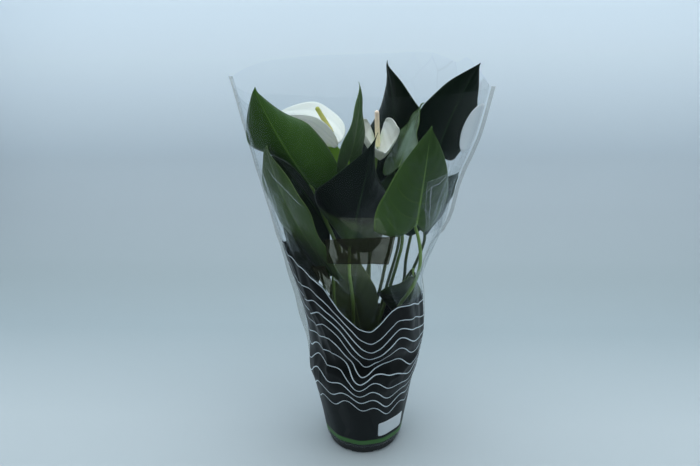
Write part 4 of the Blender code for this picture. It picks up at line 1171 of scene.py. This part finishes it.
# painted highlights: narrow strips along folds with a whitish veil, drawn where the folds catch the light, as two ends
# and the half widths there in metres
PAINTED_GLINT_LINES = [
    ((-54.5, 0.464), (-47.5, 0.398), 0.0011, 0.0002), ((-59.0, 0.470), (-50.0, 0.396), 0.0003, 0.0002),
    ((-26.0, 0.436), (-34.0, 0.386), 0.0008, 0.0003), ((-42.0, 0.474), (-60.0, 0.452), 0.0006, 0.0002),
    ((-144.0, 0.480), (-139.0, 0.400), 0.0009, 0.0002), ((-141.0, 0.448), (-133.0, 0.382), 0.0005, 0.0003),
    ((-135.0, 0.484), (-109.0, 0.438), 0.0010, 0.0003), ((-152.0, 0.500), (-147.0, 0.410), 0.0006, 0.0004),
    ((-34.0, 0.330), (-28.0, 0.286), 0.0005, 0.0002), ((-144.0, 0.488), (-145.0, 0.380), 0.0006, 0.0003),
    ((-156.0, 0.424), (-129.0, 0.362), 0.0007, 0.0003), ((-172.0, 0.576), (-141.0, 0.556), 0.0003, 0.0002),
    ((-153.0, 0.540), (-166.0, 0.496), 0.0004, 0.0003), ((-103.0, 0.338), (-99.0, 0.326), 0.0010, 0.0008),
    ((-98.0, 0.335), (-95.0, 0.328), 0.0010, 0.0006),
]


def strip_sheet(t, z, half, out):
    """Narrow ribbon lying on the film, with a half width for every point."""
    P = film_point(t, z, out=out)
    tg = unit(np.gradient(P, axis=0))
    sd = film_point(t + 0.015, z, out=out) - film_point(t - 0.015, z, out=out)
    up = film_point(t, z + 0.0015, out=out) - film_point(t, z - 0.0015, out=out)
    w = unit(np.cross(unit(np.cross(sd, up)), tg))
    return P[:, None, :] + np.array([-1.0, 0.0, 1.0])[None, :, None] * (w * half[:, None])[:, None, :]


def pleats():
    def put(P, thick):
        v, f, _, _ = closed_sheet(P, thick)
        b = len(V)
        V.extend(np.asarray(v).tolist())
        F.extend([tuple(b + i for i in q) for q in f])

    for name, quads, mat, out in (("film_pleats", PLEATS, m_pleat, 0.0006), ("film_pleats_dull", DULL_PLEATS, m_dull, 0.0006),
                                  ("film_painted_shade", PAINTED_SHADE_PATCHES, m_painted_shade, 0.0012)):
        V, F = [], []
        for c in quads:
            c = np.array(c)
            a = np.linspace(0, 1, 25)[:, None]
            b = np.linspace(0, 1, 25)[None, :]
            q = [(1 - a) * ((1 - b) * c[0, i] + b * c[1, i]) + a * ((1 - b) * c[3, i] + b * c[2, i]) for i in (0, 1)]
            put(film_point(np.radians(q[0]), q[1], out=out), 0.00016)
        o = piece(name, V, F, mat)
        at = o.data.attributes.new("crumple", "FLOAT", "POINT")
        at.data.foreach_set("value", np.full(len(V), 0.25, dtype=np.float32))
    V, F = [], []
    # strips of painted highlight along the folds
    for (a0, z0), (a1, z1), h0, h1 in PAINTED_GLINT_LINES:
        k = np.linspace(0, 1, 30)
        t = np.radians(a0 + (a1 - a0) * k)
        z = z0 + (z1 - z0) * k + 0.0012 * np.sin(9.0 * k + a0)
        put(strip_sheet(t, z, (h0 * (1 - k) + h1 * k) * np.clip(np.minimum(k, 1 - k) / 0.15, 0.15, 1.0), 0.0009), 0.00010)
    o = piece("film_painted_glints", V, F, m_painted_glint)
    at = o.data.attributes.new("crumple", "FLOAT", "POINT")
    at.data.foreach_set("value", np.full(len(V), 0.2, dtype=np.float32))


def hem_material():
    k = Nodes("m_film_hem")
    pos = k.object_pos()
    n1 = k.noise(pos, 80.0, 3.0)
    k.set(Base_Color=k.mix(n1, srgb(40, 46, 46), srgb(70, 78, 78)), Roughness=k.math("ADD", 0.16, k.math("MULTIPLY", n1, 0.15)))
    k.bsdf.inputs["Alpha"].default_value = 0.45
    return k.mat


m_hem = hem_material()
clear, ink, band, hem = sleeve_film()
pleats()


def weld(name, where, widths, turn, sign, share):
    """Flat selvage standing off the sleeve where its two sheets are welded: clear inside, welded outside."""
    rows, cols = 150, 8
    z = np.linspace(0.150, RIM_Z - 0.0005, rows + 1)
    w = where(z)
    root = film_point(w, z)
    cx, cy, x, y = film_base(w, z)
    dirn = unit(np.stack([x, y, 0 * x], 1))
    side = np.stack([-dirn[:, 1], dirn[:, 0], 0 * x], 1) * sign
    wd = smooth_table(z, [p[0] for p in widths], [p[1] for p in widths])
    a = np.radians(smooth_table(z, [p[0] for p in turn], [p[1] for p in turn])) + 0.015 * np.sin(z * 47)
    k = np.linspace(0, 1, cols + 1)[None, :, None]
    bend = a[:, None, None] * (0.3 + 0.7 * k)
    P = root[:, None, :] + k * wd[:, None, None] * (np.cos(bend) * dirn[:, None, :] + np.sin(bend) * side[:, None, :])
    V, F, _, _ = closed_sheet(P, FILM * 1.8)
    fm = []
    for f in F:
        c = np.mean([(q % ((rows + 1) * (cols + 1))) % (cols + 1) for q in f]) / cols
        fm.append(1 if c > share else 0)
    o = piece(name, V, F, [m_film, m_weld], face_mat=fm)
    a = o.data.attributes.new("crumple", "FLOAT", "POINT")
    a.data.foreach_set("value", np.full(len(V), 0.22, dtype=np.float32))
    return o


seam_l = weld("film_seam_left", weld_left, [(0.15, 0.0020), (0.19, 0.0085), (0.23, 0.0110), (0.28, 0.0110), (0.36, 0.0090), (0.42, 0.0070), (0.52, 0.0065), (0.585, 0.0080)],
              [(0.15, 50.0), (0.22, 0.0), (0.36, 0.0), (0.585, 30.0)], -1, 0.12)
seam_r = weld("film_seam_right", weld_right, [(0.15, 0.0015), (0.24, 0.0035), (0.30, 0.0060), (0.40, 0.0080), (0.585, 0.0075)],
              [(0.15, 60.0), (0.26, 40.0), (0.36, 10.0), (0.585, 0.0)], 1, 0.40)


def ribbon(name, t, z, half, mat, taper=0.06):
    """Thin printed line that follows the film."""
    t, z = np.asarray(t), np.asarray(z)
    P = film_point(t, z, out=0.0)
    tg = unit(np.gradient(P, axis=0))
    cx, cy, x, y = film_base(t, z)
    # the film's own normal, by stepping along both ways of the surface
    e = 0.0015
    up = film_point(t, z + e) - film_point(t, z - e)
    sd = film_point(t + e / 0.1, z) - film_point(t - e / 0.1, z)
    n = unit(np.cross(sd, up))
    w = unit(np.cross(n, tg))
    s = np.linspace(0, 1, len(t))
    h = half * np.clip(np.minimum(s, 1 - s) / taper, 0.12, 1.0) ** 0.7 if taper else half * np.ones_like(s)
    G = P[:, None, :] + np.array([-1.0, 1.0])[None, :, None] * (w * h[:, None])[:, None, :] + (n * (FILM * 0.5 + 0.00032))[:, None, :]
    V, F, _, nn = closed_sheet(G, 0.00012)
    return V, F


def lines():
    """Flowing bands of fine lines round the printed part."""
    V, F = [], []

    def put(t, z, half, taper=0.0):
        v, f = ribbon("line", t, z, half, m_line, taper)
        b = len(V)
        V.extend(v.tolist())
        F.extend([tuple(b + i for i in q) for q in f])

    n = 520
    t = np.linspace(0, 2 * math.pi, n)
    B = print_top(t)
    put(t, B - 0.0026, 0.00075)
    for k in range(10):
        s = (k + 1) / 11.0
        low = 0.082 + 0.010 * np.sin(3 * t + 0.8)
        z = low + (B - 0.010 - low) * (1 - s) ** 1.05
        z = z + 0.0080 * np.sin(math.pi * s) * np.sin(6 * t + 0.55 * k) + 0.0050 * np.sin(11 * t - 0.35 * k) * (0.3 + s)
        put(t, z, 0.00062 + 0.00010 * (k % 3))
    return piece("film_lines", V, F, m_line)


print_lines = lines()


def label(name, angle, zc, half_angle, half_height, tilt, round_form, node):
    rows, cols = 15, 25
    P = np.zeros((rows, cols, 3))
    tt, zz = np.zeros((rows, cols)), np.zeros((rows, cols))
    for i in range(rows):
        for j in range(cols):
            q, p = 2 * i / (rows - 1) - 1, 2 * j / (cols - 1) - 1
            if round_form:
                p, q = p * math.sqrt(1 - q * q / 2), q * math.sqrt(1 - p * p / 2)
            else:
                f = 14
                m = max(abs(p), abs(q)) or 1
                k = (abs(p) ** f + abs(q) ** f) ** (1 / f) or 1
                p, q = p * m / k, q * m / k
            pa = p * math.cos(tilt) - q * math.sin(tilt) * half_height / 0.10
            qa = q * math.cos(tilt) + p * math.sin(tilt) * 0.9
            tt[i, j] = angle + pa * half_angle
            zz[i, j] = zc + qa * half_height
    P = film_point(tt, zz, out=0.00045)
    V, F, _, _ = closed_sheet(P, 0.00018)
    return piece(name, V, F, m_white, node)


tag_low = label("tag_low", math.radians(-48.5), 0.0521, math.radians(20.3), 0.0145, 0.06, False, "label_low")
tag_side = label("tag_side", math.radians(-24), 0.530, math.radians(17), 0.032, 0.0, True, "label_side")

# ---------------------------------------------------------------------------
# floor, light
# ---------------------------------------------------------------------------


def sweep():
    """Pale floor that turns up into a pale back wall."""
    k = Nodes("m_sweep")
    pos = k.object_pos()
    n1 = k.noise(pos, 1.6, 2.0)
    sep = k.add("ShaderNodeSeparateXYZ")
    k.put(sep.inputs[0], pos)
    # painted light and shade: the floor is drawn darker towards the wall, the wall lighter upwards and glowing faintly
    # high up
    near = k.ramp(sep.outputs[1], [(0.02, (0.53, 0.585, 0.61)), (0.30, (0.415, 0.485, 0.515))])
    high = k.ramp(sep.outputs[2], [(0.02, (0.415, 0.485, 0.515)), (0.14, (0.52, 0.59, 0.64)), (0.28, (0.68, 0.76, 0.83)), (0.50, (0.86, 0.92, 0.96))])
    tone = k.mix(k.ramp(sep.outputs[2], [(0.01, 0.0), (0.06, 1.0)]), near, high)
    painted_glow = k.ramp(sep.outputs[2], [(0.26, 0.0), (0.60, 1.0)])
    k.set(Base_Color=k.mix(k.math("MULTIPLY", n1, 0.06), tone, (0.50, 0.56, 0.60)), Roughness=0.85, Emission_Color=(0.45, 0.68, 0.95),
          Emission_Strength=k.math("MULTIPLY", painted_glow, 0.20))
    # a camera that stands behind the wall looks through it
    gone = k.math("MULTIPLY", k.add("ShaderNodeNewGeometry").outputs["Backfacing"], k.add("ShaderNodeLightPath").outputs["Is Camera Ray"])
    both = k.add("ShaderNodeMixShader")
    k.put(both.inputs[0], gone)
    k.put(both.inputs[1], k.bsdf.outputs[0])
    k.put(both.inputs[2], k.add("ShaderNodeBsdfTransparent").outputs[0])
    k.put(k.out.inputs[0], both.outputs[0])
    pts = [(-3.2, 0.0)]
    R, yb = 0.28, 0.62
    pts.append((yb - R, 0.0))
    for i in range(1, 25):
        a = math.pi / 2 * i / 24
        pts.append((yb - R + R * math.sin(a), R - R * math.cos(a)))
    pts.append((yb, 2.6))
    V = []
    for y, z in pts:
        V += [(-3.5, y, z), (3.5, y, z)]
    F = grid_faces(len(pts), 2)
    o = new_object("sweep", V, F, k.mat)


sweep()


def lamp(name, at, to, size, power, color=(1, 1, 1), size_y=None):
    ld = bpy.data.lights.new(name, "AREA")
    ld.shape = "RECTANGLE"
    ld.size = size
    ld.size_y = size_y or size
    ld.energy = power
    ld.color = color
    o = bpy.data.objects.new(name, ld)
    o.location = at
    o.rotation_euler = (Vector(to) - Vector(at)).to_track_quat("-Z", "Y").to_euler()
    scene.collection.objects.link(o)
    return o


lamp("top", (0.05, -0.05, 1.75), (0, 0.08, 0.2), 1.5, 19.0, (0.93, 0.98, 1.0))
lamp("left", (-0.95, -0.05, 0.55), (0, 0, 0.35), 0.9, 1.9, (0.90, 0.97, 1.0), 1.2)
lamp("right", (0.95, -0.05, 0.55), (0, 0, 0.35), 0.9, 1.9, (0.90, 0.97, 1.0), 1.2)

w = bpy.data.worlds.new("studio")
scene.world = w
w.use_nodes = True
nt = w.node_tree
bg = nt.nodes["Background"]
tc = nt.nodes.new("ShaderNodeTexCoord")
sx = nt.nodes.new("ShaderNodeSeparateXYZ")
nt.links.new(tc.outputs["Generated"], sx.inputs[0])
up = nt.nodes.new("ShaderNodeMapRange")
up.inputs["From Min"].default_value = -0.75
up.inputs["From Max"].default_value = 0.55
nt.links.new(sx.outputs[1], up.inputs["Value"])
hi = nt.nodes.new("ShaderNodeMapRange")
hi.inputs["From Min"].default_value = 0.30
hi.inputs["From Max"].default_value = 0.95
nt.links.new(sx.outputs[2], hi.inputs["Value"])
mx = nt.nodes.new("ShaderNodeMath")
mx.operation = "MAXIMUM"
nt.links.new(up.outputs[0], mx.inputs[0])
nt.links.new(hi.outputs[0], mx.inputs[1])
cr = nt.nodes.new("ShaderNodeValToRGB")
cr.color_ramp.elements[0].color = (0.060, 0.070, 0.078, 1.0)
cr.color_ramp.elements[1].color = (0.58, 0.70, 0.78, 1.0)
nt.links.new(mx.outputs[0], cr.inputs[0])
nt.links.new(cr.outputs[0], bg.inputs[0])
bg.inputs[1].default_value = 0.75

scene.view_settings.view_transform = "Standard"
scene.view_settings.look = "None"
scene.view_settings.exposure = 0.0
